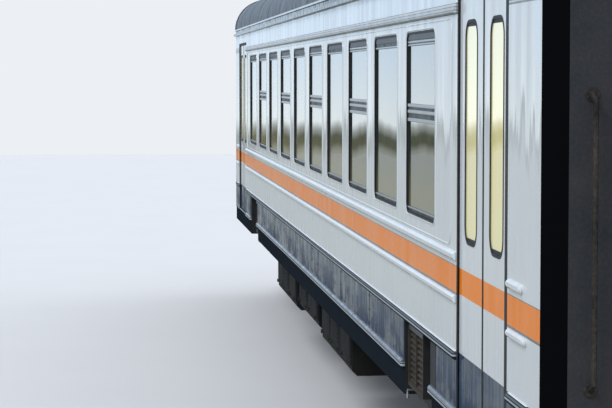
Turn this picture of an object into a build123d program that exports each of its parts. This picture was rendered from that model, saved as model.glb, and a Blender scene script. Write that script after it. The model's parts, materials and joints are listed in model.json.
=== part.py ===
from build123d import *
import os
from math import acos, cos, degrees, radians, sin

# Passenger coach of a suburban electric train, in millimetres.
# X runs along the coach, Y across it and Z up. The origin is at the middle of the coach, on the
# surface under the wheel flanges. Heights named H_ are above the rail head, and z() turns them into Z.

CUT = 1.0  # a cut runs this far past the face that it opens
SEAT_GAP = 0.3  # between pieces that rest on each other along a curve or slide

# Wheelsets
WHEEL_R = 475.0
WHEEL_W = 130.0
WHEEL_BACK_Y = 720.0  # half the distance between the wheels' backs
FLANGE_H = 30.0  # the flange tip is this far below the tread
FLANGE_T = 33.0
HUB_R = 130.0
HUB_OUT = 20.0
AXLE_R = 80.0
AXLE_HALF_L = 1100.0
JOURNAL_R = 65.0
JOURNAL_Y = 1018.0  # middle of the axle box
JOURNAL_CLEAR = 0.5
JOURNAL_END_GAP = 6.0  # from the axle's end to the axle box cover

# Bogies
BOGIE_FROM_END = 3150.0  # from the end of the body to the bogie's pivot
WHEELBASE = 2400.0
BEAM_W = 180.0
BEAM_HALF_L = 1750.0
BEAM_ABOVE_AXLE = 165.0
BEAM_H = 160.0
BEAM_DROP = 80.0  # the middle of the side beam is this much deeper
BEAM_DROP_HALF_L = 620.0
BEAM_DROP_SLOPE = 180.0
TRANSOM_X = 340.0
TRANSOM_W = 160.0
BOX_L = 280.0
BOX_W = 220.0
BOX_H = 300.0
BOX_CORNER = 60.0
WING_HALF_L = 340.0
WING_T = 40.0
WING_UNDER_AXLE = 115.0
AXLE_SPRING_R = 80.0
AXLE_SPRING_X = 250.0  # from the axle
BOLSTER_L = 400.0
BOLSTER_HALF_W = 1180.0
BOLSTER_H = 200.0
BOLSTER_ABOVE_BEAM = 30.0
BOLSTER_SPRING_R = 100.0
BOLSTER_SPRING_X = 110.0
BOLSTER_SPRING_Y = 700.0
SPRING_SIDES = 12  # a spring is a straight sleeve with this many sides
LINK_L = 80.0  # swing links that hang the spring plank from the side beams
LINK_T = 30.0
BOWL_R = 180.0
BOWL_H = 20.0
PIN_CLEAR = 1.0
SHOE_CLEAR = 8.0
SHOE_T = 45.0
SHOE_W = 85.0
SHOE_ANGLE = 36.0
HANGER_T = 30.0
HANGER_ABOVE_BEAM_FOOT = 60.0
HANGER_BRACKET_H = 40.0

# Underframe
CENTRE_PLATE_T = 25.0
CENTRE_PLATE_R = 200.0
CENTRE_PIN_R = 50.0
CENTRE_PIN_L = 150.0
SIDE_BEARER_Y = 900.0
SIDE_BEARER_W = 160.0
BODY_BOLSTER_L = 500.0
BODY_BOLSTER_H = 275.0
JACK_PAD = 180.0
JACK_PAD_T = 20.0
SOLE_W = 120.0
SOLE_H = 290.0
CENTRE_SILL_W = 400.0
CENTRE_SILL_H = 250.0
CROSS_W = 120.0
CROSS_H = 190.0
CROSS_PITCH = 1450.0
HEADSTOCK_L = 300.0

# Body
BODY_L = 19600.0  # over the end walls
BODY_W = 3480.0  # over the side sheets
WALL_T = 120.0  # whole side wall, from lining to sheet
SKIN_T = 8.0
END_T = 60.0  # end wall
FLOOR_T = 60.0
SIDE_UNDER_FLOOR = 245.0  # from the floor down to the side wall's lower edge
SKIRT_H = 165.0
SKIRT_SET = 6.0
CANT_ABOVE_FLOOR = 1990.0  # from the floor to the cantrail, the lintel of every doorway
CANT_H = 200.0
ROOF_RISE = 650.0
ROOF_T = 80.0
ROOF_CORNER_R = 400.0
RIB_OUT = 20.0
RIB_SLOPE = 12.0
# Gutter strips: inner and outer distance from the sheet, lower and upper distance under the roof's edge
GUTTER = [(0.0, 30.0, 90.0, 78.0), (18.0, 30.0, 78.0, 60.0), (0.0, 16.0, 18.0, 0.0)]

# Windows
WINDOW_PITCH = 1452.0
WINDOW_W = 1060.0
WINDOW_R = 60.0
WINDOW_ABOVE_FLOOR = 729.0
WINDOW_UNDER_CANT = 183.0
FRAME_LAP = 30.0  # the frame reaches this far behind the sheet
FRAME_SIDE = 22.0  # the frame shows this much at each side of the glass
FRAME_LOW = 36.0
FRAME_HIGH = 79.0
FRAME_D = 60.0
UPPER_LIGHT_H = 422.0  # of a split window, from the top of the opening to the mid-rail
MID_RAIL_H = 108.0
GLASS_T = 8.0
GLASS_SET = 28.0  # from the frame's outer face to the glass

# Side doors
END_SECTION = 700.0  # from a doorway to the end of the body
DOORWAY_W = 1339.0
SILL_H = 20.0  # the sill stands this far above the side wall's lower edge
LEAF_T = 40.0
LEAF_CLEAR = 6.0  # around a leaf, in its pocket
LEAF_LAP = 20.0  # a closed leaf reaches this far into its pocket
LEAF_MEET = 3.0  # from the middle of the doorway to the leaf
POCKET_L = 640.0
LEAF_SHEET = 12.0
LEAF_WINDOW_W = 323.0
LEAF_WINDOW_R = 90.0
LEAF_WINDOW_LAP = 20.0
LEAF_WINDOW_ABOVE_FLOOR = 697.0
LEAF_WINDOW_UNDER_CANT = 165.0
SLIDE_SHOE_L = 90.0
SLIDE_SHOE_H = 8.0
SLIDE_SHOE_SET = 10.0  # a shoe is this much inside each face of its leaf

# Air intake recess in the side, over each bogie
INTAKE_FROM_DOORWAY = 819.0
INTAKE_W = 1026.0
INTAKE_D = 80.0
GRILLE_FROM_EDGE = 10.0  # from the recess's inner end to the grille
GRILLE_W = 580.0
GRILLE_T = 50.0
GRILLE_BACK = 6.0
GRILLE_FRAME = 30.0
GRILLE_HEADER = 60.0
GRILLE_MULLION = 16.0
GRILLE_ABOVE_SKIRT = 60.0
GRILLE_SLATS = 9
SLAT_T = 8.0
SLAT_SET = 6.0  # from the grille's face to the slats' edges

# Gangways and end doors
GANGWAY_OUT = 315.0  # from the end wall to the buffing face
GANGWAY_HALF_W = 560.0
GANGWAY_INNER_HALF_W = 430.0
GANGWAY_UNDER_FLOOR = 160.0
GANGWAY_ABOVE_DOORWAY = 140.0
BELLOWS_FOLDS = 4
FOLD_D = 25.0
END_DOORWAY_HALF_W = 415.0
END_DOORWAY_UNDER_CANT = 20.0
END_DOOR_T = 40.0
END_DOOR_SET = 5.0
END_DOOR_CLEAR = 10.0
END_DOOR_RIM = 110.0
END_DOOR_PANELS = [(130.0, 840.0), (960.0, 1850.0)]  # lower and upper distance above the floor
PRESS_D = 6.0
PIVOT_R = 10.0
PIVOT_FROM_JAMB = 15.0

# Vestibule partitions
PARTITION_T = 40.0
PARTITION_FROM_DOORWAY = 81.0  # from the doorway's inner jamb to the partition's vestibule face
PARTITION_HALF_W = 450.0
PARTITION_DOOR_T = 35.0
PARTITION_DOOR_GAP = 8.0
PARTITION_DOOR_LAP = 20.0
PARTITION_WINDOW_HALF_W = 300.0
PARTITION_WINDOW = (840.0, 1790.0)  # lower and upper distance above the floor

# Benches and racks
SEAT_DEPTH = 470.0
SEAT_H = 430.0
SEAT_T = 50.0
SEAT_LENGTH = 1290.0
SEAT_BACK_H = 1020.0
SEAT_BACK_FOOT = 70.0
SEAT_BACK_TOP = 30.0
PEDESTAL_HALF_L = 140.0
PEDESTAL_SET = 100.0  # from the bench's aisle end
RACK_DEPTH = 340.0
RACK_T = 30.0
RACK_UNDER_CANT = 160.0

# Couplers
COUPLER_UNDER_FLOOR = 350.0  # from the floor to the coupler's axis
SHANK_W = 130.0
SHANK_H = 170.0
SHANK_UNDER_HEAD = 50.0
CARRIER_W = 220.0
HEAD_H = 300.0
# Head outline: distance ahead of the buffing face, distance to the left of the axis
HEAD_OUTLINE = [
    (-170.0, -110.0),
    (-60.0, -205.0),
    (20.0, -205.0),
    (20.0, -150.0),
    (-50.0, -120.0),
    (-50.0, 40.0),
    (110.0, 60.0),
    (130.0, 130.0),
    (40.0, 200.0),
    (-80.0, 200.0),
    (-170.0, 110.0),
]

# Equipment under the floor, between the bogies
EQUIPMENT_FROM_BOGIE = 300.0
EQUIPMENT_GAP = 300.0
EQUIPMENT_SET = 20.0  # inside the lining
EQUIPMENT_CORNER = 40.0
# Boxes of each side in a row from the rear bogie forwards: length, distance from the middle, height
EQUIPMENT = {
    "left": [(1700.0, 700.0, 500.0), (1500.0, 800.0, 420.0), (2400.0, 700.0, 500.0), (1000.0, 900.0, 380.0)],
    "right": [(2200.0, 700.0, 500.0), (1800.0, 800.0, 440.0), (2200.0, 700.0, 500.0)],
}
TANK_L = 1300.0
TANK_R = 165.0
TANK_FROM_LINING = 370.0
TANK_UNDER_SOLE = 230.0
CRADLE_X = 400.0
CRADLE_W = 60.0
CRADLE_DEPTH = 45.0  # the cradle reaches this far over the tank

# Roof ventilators
VENTS = 7
VENT_PITCH = 2400.0
VENT_L = 600.0
VENT_W = 660.0
VENT_H = 110.0
VENT_FOOT = 120.0
VENT_CORNER = 50.0

# Derived heights, from the wheels up
H_AXLE = WHEEL_R
H_WING = H_AXLE - WING_UNDER_AXLE
H_BEAM_LOW = H_AXLE + BEAM_ABOVE_AXLE
H_BEAM_HIGH = H_BEAM_LOW + BEAM_H
H_BOLSTER_LOW = H_BEAM_HIGH + BOLSTER_ABOVE_BEAM
H_BOLSTER_HIGH = H_BOLSTER_LOW + BOLSTER_H
H_CENTRE_PLATE = H_BOLSTER_HIGH + BOWL_H
H_BODY_BOLSTER = H_CENTRE_PLATE + CENTRE_PLATE_T
H_FLOOR_UNDER = H_BODY_BOLSTER + BODY_BOLSTER_H
H_FLOOR = H_FLOOR_UNDER + FLOOR_T
H_SOLE = H_FLOOR_UNDER - SOLE_H
H_SIDE = H_FLOOR - SIDE_UNDER_FLOOR
H_SILL = H_SIDE + SILL_H
H_SKIRT = H_SIDE - SKIRT_H
H_CANT = H_FLOOR + CANT_ABOVE_FLOOR
H_ROOF = H_CANT + CANT_H
H_TOP = H_ROOF + ROOF_RISE
H_END_DOORWAY = H_CANT - END_DOORWAY_UNDER_CANT
H_COUPLER = H_FLOOR - COUPLER_UNDER_FLOOR
H_WINDOW_LOW = H_FLOOR + WINDOW_ABOVE_FLOOR
H_WINDOW_HIGH = H_CANT - WINDOW_UNDER_CANT
H_MID_RAIL = H_WINDOW_HIGH - UPPER_LIGHT_H - MID_RAIL_H
H_LEAF_WINDOW_LOW = H_FLOOR + LEAF_WINDOW_ABOVE_FLOOR
H_LEAF_WINDOW_HIGH = H_CANT - LEAF_WINDOW_UNDER_CANT

# Derived places
SIDE_Y = BODY_W / 2
LINING_Y = SIDE_Y - WALL_T
END_X = BODY_L / 2
DOOR_OUT_X = END_X - END_SECTION
DOOR_IN_X = DOOR_OUT_X - DOORWAY_W
DOOR_MID_X = (DOOR_OUT_X + DOOR_IN_X) / 2
PARTITION_X = DOOR_IN_X - PARTITION_FROM_DOORWAY
PIVOT_X = END_X - BOGIE_FROM_END
AXLE_X = WHEELBASE / 2
SKIN_IN_Y = SIDE_Y - SKIN_T
LEAF_OUT_Y = SKIN_IN_Y - LEAF_CLEAR
LEAF_IN_Y = LEAF_OUT_Y - LEAF_T
POCKET_IN_Y = LEAF_IN_Y - LEAF_CLEAR
SKIRT_Y = SIDE_Y - SKIRT_SET
INTAKE_HIGH_X = DOOR_IN_X - INTAKE_FROM_DOORWAY
INTAKE_LOW_X = INTAKE_HIGH_X - INTAKE_W
INTAKE_Y = SIDE_Y - INTAKE_D
WINDOW_ROOM = 2 * (DOOR_IN_X - POCKET_L - FRAME_LAP) - WINDOW_W
WINDOWS = int(WINDOW_ROOM // WINDOW_PITCH) + 1
WINDOW_XS = [(i - (WINDOWS - 1) / 2) * WINDOW_PITCH for i in range(WINDOWS)]
ROW_END_X = PIVOT_X - BEAM_HALF_L - EQUIPMENT_FROM_BOGIE
ROOF_CORNER_Y = SIDE_Y - ROOF_CORNER_R
ROOF_R = (ROOF_CORNER_Y**2 + ROOF_RISE**2 - ROOF_CORNER_R**2) / (2 * (ROOF_RISE - ROOF_CORNER_R))
ENDS = {"front": 1, "rear": -1}
SIDES = {"left": 1, "right": -1}

# Pressed ribs of the side: lower and upper height
RIBS = {
    "cornice": (H_CANT - 117, H_CANT - 62),
    "above_stripe": (H_FLOOR + 585, H_FLOOR + 628),
    "below_stripe": (H_FLOOR + 362, H_FLOOR + 402),
    "band_top": (H_FLOOR + 60, H_FLOOR + 107),
    "lower": (H_SIDE, H_SIDE + 50),
}
# Short ribs on the end section: rib, start and end from the doorway
STUB_RIBS = [("above_stripe", 58.0, 325.0), ("below_stripe", 58.0, 411.0), ("band_top", 58.0, 454.0)]
H_INTAKE = RIBS["band_top"][0]


def z(height):
    """Height above the rail head, as Z."""
    return height + FLANGE_H


def block(x0, x1, y0, y1, z0, z1):
    """A box from one corner to the opposite one, in any order."""
    size = (abs(x1 - x0), abs(y1 - y0), abs(z1 - z0))
    return Pos((x0 + x1) / 2, (y0 + y1) / 2, (z0 + z1) / 2) * Box(*size)


def across(radius, length):
    """A cylinder along Y, centred on the origin."""
    return Rot(90, 0, 0) * Cylinder(radius, length)


def other_side(shape):
    return mirror(shape, about=Plane.XZ)


def other_end(shape):
    return mirror(shape, about=Plane.YZ)


def turned(shape):
    """The same piece at the other end, turned half round."""
    return Rot(0, 0, 180) * shape


def rounded_opening(x_mid, width, low, high, radius, y_in, y_out):
    """A prism across Y with a rounded rectangle as its section."""
    plane = Plane(origin=(x_mid, y_in, z((low + high) / 2)), x_dir=(-1, 0, 0), z_dir=(0, 1, 0))
    return extrude(plane * RectangleRounded(width, high - low, radius), y_out - y_in)


def rib(name, x0, x1):
    """One pressed rib, with sloping edges and ends, standing on the side sheet."""
    low, high = RIBS[name]
    bar = block(x0, x1, SIDE_Y, SIDE_Y + RIB_OUT, z(low), z(high))
    return chamfer(bar.faces().sort_by(Axis.Y)[-1].edges(), RIB_SLOPE)


def roof_section(inset, length):
    """The roof's arched section at a distance inside the sheet, closed by a flat base, as a solid."""
    corner_r = ROOF_CORNER_R - inset
    crown_r = ROOF_R - inset
    side = ROOF_CORNER_Y + corner_r
    centre = H_TOP - ROOF_R
    lean = (ROOF_CORNER_Y / (ROOF_R - ROOF_CORNER_R), (H_ROOF - centre) / (ROOF_R - ROOF_CORNER_R))
    knee = (lean[0] * crown_r, z(centre) + lean[1] * crown_r)
    bend = degrees(acos(lean[0])) / 2
    middle = (ROOF_CORNER_Y + corner_r * cos(radians(bend)), z(H_ROOF) + corner_r * sin(radians(bend)))
    crown = z(centre) + crown_r
    edge = [
        ThreePointArc((side, z(H_ROOF)), middle, knee),
        ThreePointArc(knee, (0, crown), (-knee[0], knee[1])),
        ThreePointArc((-knee[0], knee[1]), (-middle[0], middle[1]), (-side, z(H_ROOF))),
        Line((-side, z(H_ROOF)), (side, z(H_ROOF))),
    ]
    return extrude(Plane.YZ * make_face(edge), length / 2, both=True)


def bulkhead(x0, thickness, half_width):
    """A wall across the coach from x0 on, up to the roof lining, with a doorway from the floor up."""
    wall = block(-thickness / 2, thickness / 2, -LINING_Y, LINING_Y, z(H_FLOOR), z(H_ROOF))
    wall += roof_section(ROOF_T + SEAT_GAP, thickness)
    wall -= block(-thickness, thickness, -half_width, half_width, z(H_FLOOR) - CUT, z(H_END_DOORWAY))
    return Pos(x0 + thickness / 2, 0, 0) * wall


def side_wall():
    """The wall between the doorways on the +Y side, with its windows, ribs and door pockets."""
    wall = block(-DOOR_IN_X, DOOR_IN_X, LINING_Y, SIDE_Y, z(H_SIDE), z(H_CANT))
    cuts = []
    half = WINDOW_W / 2 + FRAME_LAP
    low, high = z(H_WINDOW_LOW - FRAME_LAP), z(H_WINDOW_HIGH + FRAME_LAP)
    for x in WINDOW_XS:
        cuts.append(
            rounded_opening(x, WINDOW_W, H_WINDOW_LOW, H_WINDOW_HIGH, WINDOW_R, LINING_Y, SIDE_Y + CUT)
        )
        cuts.append(block(x - half, x + half, LINING_Y - CUT, SKIN_IN_Y, low, high))
    for end in ENDS.values():
        inner, outer = end * (DOOR_IN_X - POCKET_L), end * (DOOR_IN_X + CUT)
        cuts.append(block(inner, outer, POCKET_IN_Y, SKIN_IN_Y, z(H_SILL), z(H_CANT) + CUT))
        low, high = z(H_SIDE) - CUT, z(H_INTAKE)
        cuts.append(block(end * INTAKE_LOW_X, end * INTAKE_HIGH_X, INTAKE_Y, SIDE_Y + CUT, low, high))
    wall -= cuts
    whole = [(-DOOR_IN_X, DOOR_IN_X)]
    between_recesses = [
        (-DOOR_IN_X, -INTAKE_HIGH_X),
        (-INTAKE_LOW_X, INTAKE_LOW_X),
        (INTAKE_HIGH_X, DOOR_IN_X),
    ]
    for name in RIBS:
        for start, stop in between_recesses if name == "lower" else whole:
            wall += rib(name, start, stop)
    return wall


def corner_wall():
    """The short wall between a doorway and the end, with its door pocket and short ribs."""
    wall = block(DOOR_OUT_X, END_X, LINING_Y, SIDE_Y, z(H_SIDE), z(H_CANT))
    inner, outer = DOOR_OUT_X - CUT, DOOR_OUT_X + POCKET_L
    wall -= block(inner, outer, POCKET_IN_Y, SKIN_IN_Y, z(H_SILL), z(H_CANT) + CUT)
    for name, start, stop in STUB_RIBS:
        wall += rib(name, DOOR_OUT_X + start, DOOR_OUT_X + stop)
    return wall


def skirt():
    """The lower edge of one side, raised to the sill under each doorway."""
    panel = block(-END_X, END_X, LINING_Y, SKIRT_Y, z(H_SKIRT), z(H_SIDE))
    for end in ENDS.values():
        panel += block(end * DOOR_IN_X, end * DOOR_OUT_X, LINING_Y, SKIRT_Y, z(H_SIDE), z(H_SILL))
        low, high = z(H_SKIRT) - CUT, z(H_SIDE) + CUT
        panel -= block(end * INTAKE_LOW_X, end * INTAKE_HIGH_X, INTAKE_Y, SIDE_Y, low, high)
    return panel


def cantrail():
    """The beam over the windows and doorways of one side, with the gutter along its top."""
    beam = block(-END_X, END_X, LINING_Y, SIDE_Y, z(H_CANT), z(H_ROOF))
    for inner, outer, low, high in GUTTER:
        beam += block(-END_X, END_X, SIDE_Y + inner, SIDE_Y + outer, z(H_ROOF - low), z(H_ROOF - high))
    return beam


def window_frame(x, split):
    """One window's frame, behind the sheet, with a mid-rail where the window is split."""
    half = WINDOW_W / 2 + FRAME_LAP
    inner = WINDOW_W / 2 - FRAME_SIDE
    y_in = SKIN_IN_Y - FRAME_D
    low, high = z(H_WINDOW_LOW - FRAME_LAP), z(H_WINDOW_HIGH + FRAME_LAP)
    frame = block(x - half, x + half, y_in, SKIN_IN_Y, low, high)
    low, high = z(H_WINDOW_LOW + FRAME_LOW), z(H_WINDOW_HIGH - FRAME_HIGH)
    frame -= block(x - inner, x + inner, y_in - CUT, SKIN_IN_Y + CUT, low, high)
    if split:
        frame += block(x - inner, x + inner, y_in, SKIN_IN_Y, z(H_MID_RAIL), z(H_MID_RAIL + MID_RAIL_H))
    return frame


def window_panes(x, split):
    inner = WINDOW_W / 2 - FRAME_SIDE
    y_out = SKIN_IN_Y - GLASS_SET
    heights = [H_WINDOW_LOW + FRAME_LOW, H_WINDOW_HIGH - FRAME_HIGH]
    if split:
        heights[1:1] = [H_MID_RAIL, H_MID_RAIL + MID_RAIL_H]
    pairs = zip(heights[::2], heights[1::2])
    return [block(x - inner, x + inner, y_out - GLASS_T, y_out, z(low), z(high)) for low, high in pairs]


def leaf_jamb(way):
    """X of the jamb that a leaf of the front doorway slides into, outwards (1) or inwards (-1)."""
    return DOOR_OUT_X if way > 0 else DOOR_IN_X


def door_leaf(way):
    """A leaf of the front doorway on the +Y side, with its window opening and two shoes."""
    near, far = DOOR_MID_X + way * LEAF_MEET, leaf_jamb(way) + way * LEAF_LAP
    low, high = z(H_SILL) + SLIDE_SHOE_H, z(H_CANT) - LEAF_CLEAR
    leaf = block(near, far, LEAF_IN_Y, LEAF_OUT_Y, low, high)
    mid = (DOOR_MID_X + leaf_jamb(way)) / 2
    low, high = H_LEAF_WINDOW_LOW, H_LEAF_WINDOW_HIGH
    y_in, y_out = LEAF_IN_Y - CUT, LEAF_OUT_Y + CUT
    leaf -= rounded_opening(mid, LEAF_WINDOW_W, low, high, LEAF_WINDOW_R, y_in, y_out)
    half = LEAF_WINDOW_W / 2 + LEAF_WINDOW_LAP
    low, high = z(low - LEAF_WINDOW_LAP), z(high + LEAF_WINDOW_LAP)
    leaf -= block(mid - half, mid + half, y_in, LEAF_OUT_Y - LEAF_SHEET, low, high)
    y_in, y_out = LEAF_IN_Y + SLIDE_SHOE_SET, LEAF_OUT_Y - SLIDE_SHOE_SET
    for place in (near, far - way * SLIDE_SHOE_L):
        low, high = z(H_SILL) + SEAT_GAP, z(H_SILL) + SLIDE_SHOE_H
        leaf += block(place, place + way * SLIDE_SHOE_L, y_in, y_out, low, high)
    return leaf


def door_glass(way):
    mid = (DOOR_MID_X + leaf_jamb(way)) / 2
    half = LEAF_WINDOW_W / 2 + LEAF_WINDOW_LAP
    low, high = z(H_LEAF_WINDOW_LOW - LEAF_WINDOW_LAP), z(H_LEAF_WINDOW_HIGH + LEAF_WINDOW_LAP)
    y_out = LEAF_OUT_Y - LEAF_SHEET
    return block(mid - half, mid + half, y_out - GLASS_T, y_out, low, high)


def intake_grille():
    """The grille in the front recess on the +Y side: two columns of slats in one frame."""
    mid = INTAKE_LOW_X + GRILLE_FROM_EDGE + GRILLE_W / 2
    low, high = z(H_SKIRT + GRILLE_ABOVE_SKIRT), z(H_INTAKE)
    rear, front = INTAKE_Y + GRILLE_BACK, INTAKE_Y + GRILLE_T
    panel = block(mid - GRILLE_W / 2, mid + GRILLE_W / 2, INTAKE_Y, front, low, high)
    low, high = low + GRILLE_FRAME, high - GRILLE_HEADER
    pitch = (high - low) / GRILLE_SLATS
    profile = [(INTAKE_Y, low)]
    for i in range(GRILLE_SLATS):
        edge = low + i * pitch
        profile += [(front - SLAT_SET, edge), (front - SLAT_SET, edge + SLAT_T), (rear, edge + pitch)]
    profile.append((INTAKE_Y, high))
    column_w = GRILLE_W / 2 - GRILLE_FRAME - GRILLE_MULLION / 2
    column = extrude(Plane.YZ * make_face(Polyline(*profile, close=True)), column_w)
    for x in (mid - GRILLE_MULLION / 2 - column_w, mid + GRILLE_MULLION / 2):
        panel -= block(x, x + column_w, rear, front + CUT, low, high)
        panel += Pos(x, 0, 0) * column
    return panel


def gangway():
    """The folding surround round the front gangway, with its footplate."""
    step = GANGWAY_OUT / (2 * BELLOWS_FOLDS - 1)
    ring = None
    for i in range(2 * BELLOWS_FOLDS - 1):
        fold = FOLD_D * (i % 2)
        x0, half = END_X + i * step, GANGWAY_HALF_W - fold
        low = z(H_FLOOR - GANGWAY_UNDER_FLOOR) + fold
        high = z(H_END_DOORWAY + GANGWAY_ABOVE_DOORWAY) - fold
        slab = block(x0, x0 + step, -half, half, low, high)
        ring = slab if ring is None else ring + slab
    half = GANGWAY_INNER_HALF_W
    x0, x1 = END_X - CUT, END_X + GANGWAY_OUT + CUT
    return ring - block(x0, x1, -half, half, z(H_FLOOR), z(H_END_DOORWAY))


def end_door():
    """The hinged steel door in the front end wall, with a pivot pin and pressed panels in each face."""
    x0 = END_X - END_T + END_DOOR_SET
    hinge_y = -END_DOORWAY_HALF_W + PIVOT_FROM_JAMB
    low, high = z(H_FLOOR) + END_DOOR_CLEAR, z(H_END_DOORWAY) - END_DOOR_CLEAR
    leaf = block(x0, x0 + END_DOOR_T, hinge_y, END_DOORWAY_HALF_W - END_DOOR_CLEAR, low, high)
    pin_l = high - low + 2 * (END_DOOR_CLEAR - SEAT_GAP)
    leaf += Pos(x0 + PIVOT_R, hinge_y, (low + high) / 2) * Cylinder(PIVOT_R, pin_l)
    half = END_DOORWAY_HALF_W - END_DOOR_RIM
    for low, high in END_DOOR_PANELS:
        for face in (x0, x0 + END_DOOR_T):
            leaf -= block(face - PRESS_D, face + PRESS_D, -half, half, z(H_FLOOR + low), z(H_FLOOR + high))
    return leaf


def partition_door():
    """The sliding door on the vestibule side of the front partition, with its window and shoes."""
    x0 = PARTITION_X + PARTITION_DOOR_GAP
    x1 = x0 + PARTITION_DOOR_T
    half = PARTITION_HALF_W + PARTITION_DOOR_LAP
    leaf = block(x0, x1, -half, half, z(H_FLOOR) + SLIDE_SHOE_H, z(H_END_DOORWAY) + PARTITION_DOOR_LAP)
    low, high = (z(H_FLOOR + height) for height in PARTITION_WINDOW)
    leaf -= block(x0 - CUT, x1 + CUT, -PARTITION_WINDOW_HALF_W, PARTITION_WINDOW_HALF_W, low, high)
    low, high = z(H_FLOOR) + SEAT_GAP, z(H_FLOOR) + SLIDE_SHOE_H
    for y in (-half, half - SLIDE_SHOE_L):
        leaf += block(x0 + SLIDE_SHOE_SET, x1 - SLIDE_SHOE_SET, y, y + SLIDE_SHOE_L, low, high)
    return leaf


def partition_glass():
    x0 = PARTITION_X + PARTITION_DOOR_GAP + (PARTITION_DOOR_T - GLASS_T) / 2
    low, high = (z(H_FLOOR + height) for height in PARTITION_WINDOW)
    return block(x0, x0 + GLASS_T, -PARTITION_WINDOW_HALF_W, PARTITION_WINDOW_HALF_W, low, high)


def sole_bar():
    return block(-END_X, END_X, LINING_Y - SOLE_W, LINING_Y, z(H_SOLE), z(H_FLOOR_UNDER))


def centre_sill():
    """The centre sill, in three lengths between the headstocks and the body bolsters."""
    bolster_in, bolster_out = PIVOT_X - BODY_BOLSTER_L / 2, PIVOT_X + BODY_BOLSTER_L / 2
    headstock = END_X - HEADSTOCK_L
    half = CENTRE_SILL_W / 2
    spans = [(-headstock, -bolster_out), (-bolster_in, bolster_in), (bolster_out, headstock)]
    low = z(H_FLOOR_UNDER - CENTRE_SILL_H)
    return [block(start, stop, -half, half, low, z(H_FLOOR_UNDER)) for start, stop in spans]


def cross_members():
    """A headstock at each end, and cross members from the centre sill to both sole bars."""
    half, reach = CENTRE_SILL_W / 2, LINING_Y - SOLE_W
    top = z(H_FLOOR_UNDER)
    pieces = []
    for end in ENDS.values():
        pieces.append(block(end * (END_X - HEADSTOCK_L), end * END_X, -reach, reach, z(H_SOLE), top))
    steps = int((PIVOT_X - BODY_BOLSTER_L / 2 - CROSS_W / 2) // CROSS_PITCH)
    for i in range(-steps, steps + 1):
        x0, x1 = i * CROSS_PITCH - CROSS_W / 2, i * CROSS_PITCH + CROSS_W / 2
        for side in SIDES.values():
            pieces.append(block(x0, x1, side * half, side * reach, top - CROSS_H, top))
    return pieces


def body_bolster():
    """The front body bolster, with centre plate, pin, side bearers and the pads for lifting jacks."""
    half, reach = BODY_BOLSTER_L / 2, LINING_Y - SOLE_W
    top, foot, plate = z(H_FLOOR_UNDER), z(H_BODY_BOLSTER), z(H_CENTRE_PLATE)
    beam = block(-half, half, -reach, reach, foot, top)
    beam += Pos(0, 0, (plate + foot) / 2) * Cylinder(CENTRE_PLATE_R, foot - plate)
    beam += Pos(0, 0, plate - CENTRE_PIN_L / 2) * Cylinder(CENTRE_PIN_R, CENTRE_PIN_L)
    bearer, pad = SIDE_BEARER_W / 2, JACK_PAD / 2
    for side in SIDES.values():
        y = side * SIDE_BEARER_Y
        beam += block(-bearer, bearer, y - bearer, y + bearer, plate, foot)
        inner, outer, low = side * (LINING_Y - JACK_PAD), side * LINING_Y, z(H_SOLE) - JACK_PAD_T
        beam += block(-pad, pad, inner, outer, low, z(H_SOLE))
        beam += block(-pad, pad, inner, side * reach, low, foot)
    return Pos(PIVOT_X, 0, 0) * beam


def wheelset():
    """An axle with its two wheels, centred on its own middle, turned from half of its section."""
    face = WHEEL_BACK_Y + WHEEL_W
    half = [
        (AXLE_R, WHEEL_BACK_Y),
        (WHEEL_R + FLANGE_H, WHEEL_BACK_Y),
        (WHEEL_R + FLANGE_H, WHEEL_BACK_Y + FLANGE_T),
        (WHEEL_R, WHEEL_BACK_Y + FLANGE_T),
        (WHEEL_R, face),
        (HUB_R, face),
        (HUB_R, face + HUB_OUT),
        (JOURNAL_R, face + HUB_OUT),
        (JOURNAL_R, AXLE_HALF_L),
        (0, AXLE_HALF_L),
    ]
    section = half + [(radius, -y) for radius, y in reversed(half)]
    return revolve(make_face(Polyline(*section, close=True)), Axis.Y)


def bogie_frame():
    """Side beams and transoms in an H, centred on the pivot."""
    flat = BEAM_DROP_HALF_L + BEAM_DROP_SLOPE
    low, high = z(H_BEAM_LOW), z(H_BEAM_HIGH)
    outline = [
        (-BEAM_HALF_L, high),
        (-BEAM_HALF_L, low),
        (-flat, low),
        (-BEAM_DROP_HALF_L, low - BEAM_DROP),
        (BEAM_DROP_HALF_L, low - BEAM_DROP),
        (flat, low),
        (BEAM_HALF_L, low),
        (BEAM_HALF_L, high),
    ]
    beam = extrude(Plane.XZ * make_face(Polyline(*outline, close=True)), BEAM_W / 2, both=True)
    frame = Pos(0, JOURNAL_Y, 0) * beam + Pos(0, -JOURNAL_Y, 0) * beam
    reach = JOURNAL_Y - BEAM_W / 2
    for end in ENDS.values():
        x0, x1 = end * (TRANSOM_X - TRANSOM_W / 2), end * (TRANSOM_X + TRANSOM_W / 2)
        frame += block(x0, x1, -reach, reach, low, high)
    return frame


def bogie_bolster():
    """The bolster across the bogie, with its centre bowl and side bearers."""
    half, top = BOLSTER_L / 2, z(H_BOLSTER_HIGH)
    bolster = block(-half, half, -BOLSTER_HALF_W, BOLSTER_HALF_W, z(H_BOLSTER_LOW), top)
    rise = BOWL_H - SEAT_GAP
    bolster += Pos(0, 0, top + rise / 2) * Cylinder(BOWL_R, rise)
    bearer = SIDE_BEARER_W / 2
    for side in SIDES.values():
        y = side * SIDE_BEARER_Y
        bolster += block(-bearer, bearer, y - bearer, y + bearer, top, top + rise)
    bore_l = 2 * (BOLSTER_H + BOWL_H)
    return bolster - Pos(0, 0, top) * Cylinder(CENTRE_PIN_R + PIN_CLEAR, bore_l)


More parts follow.
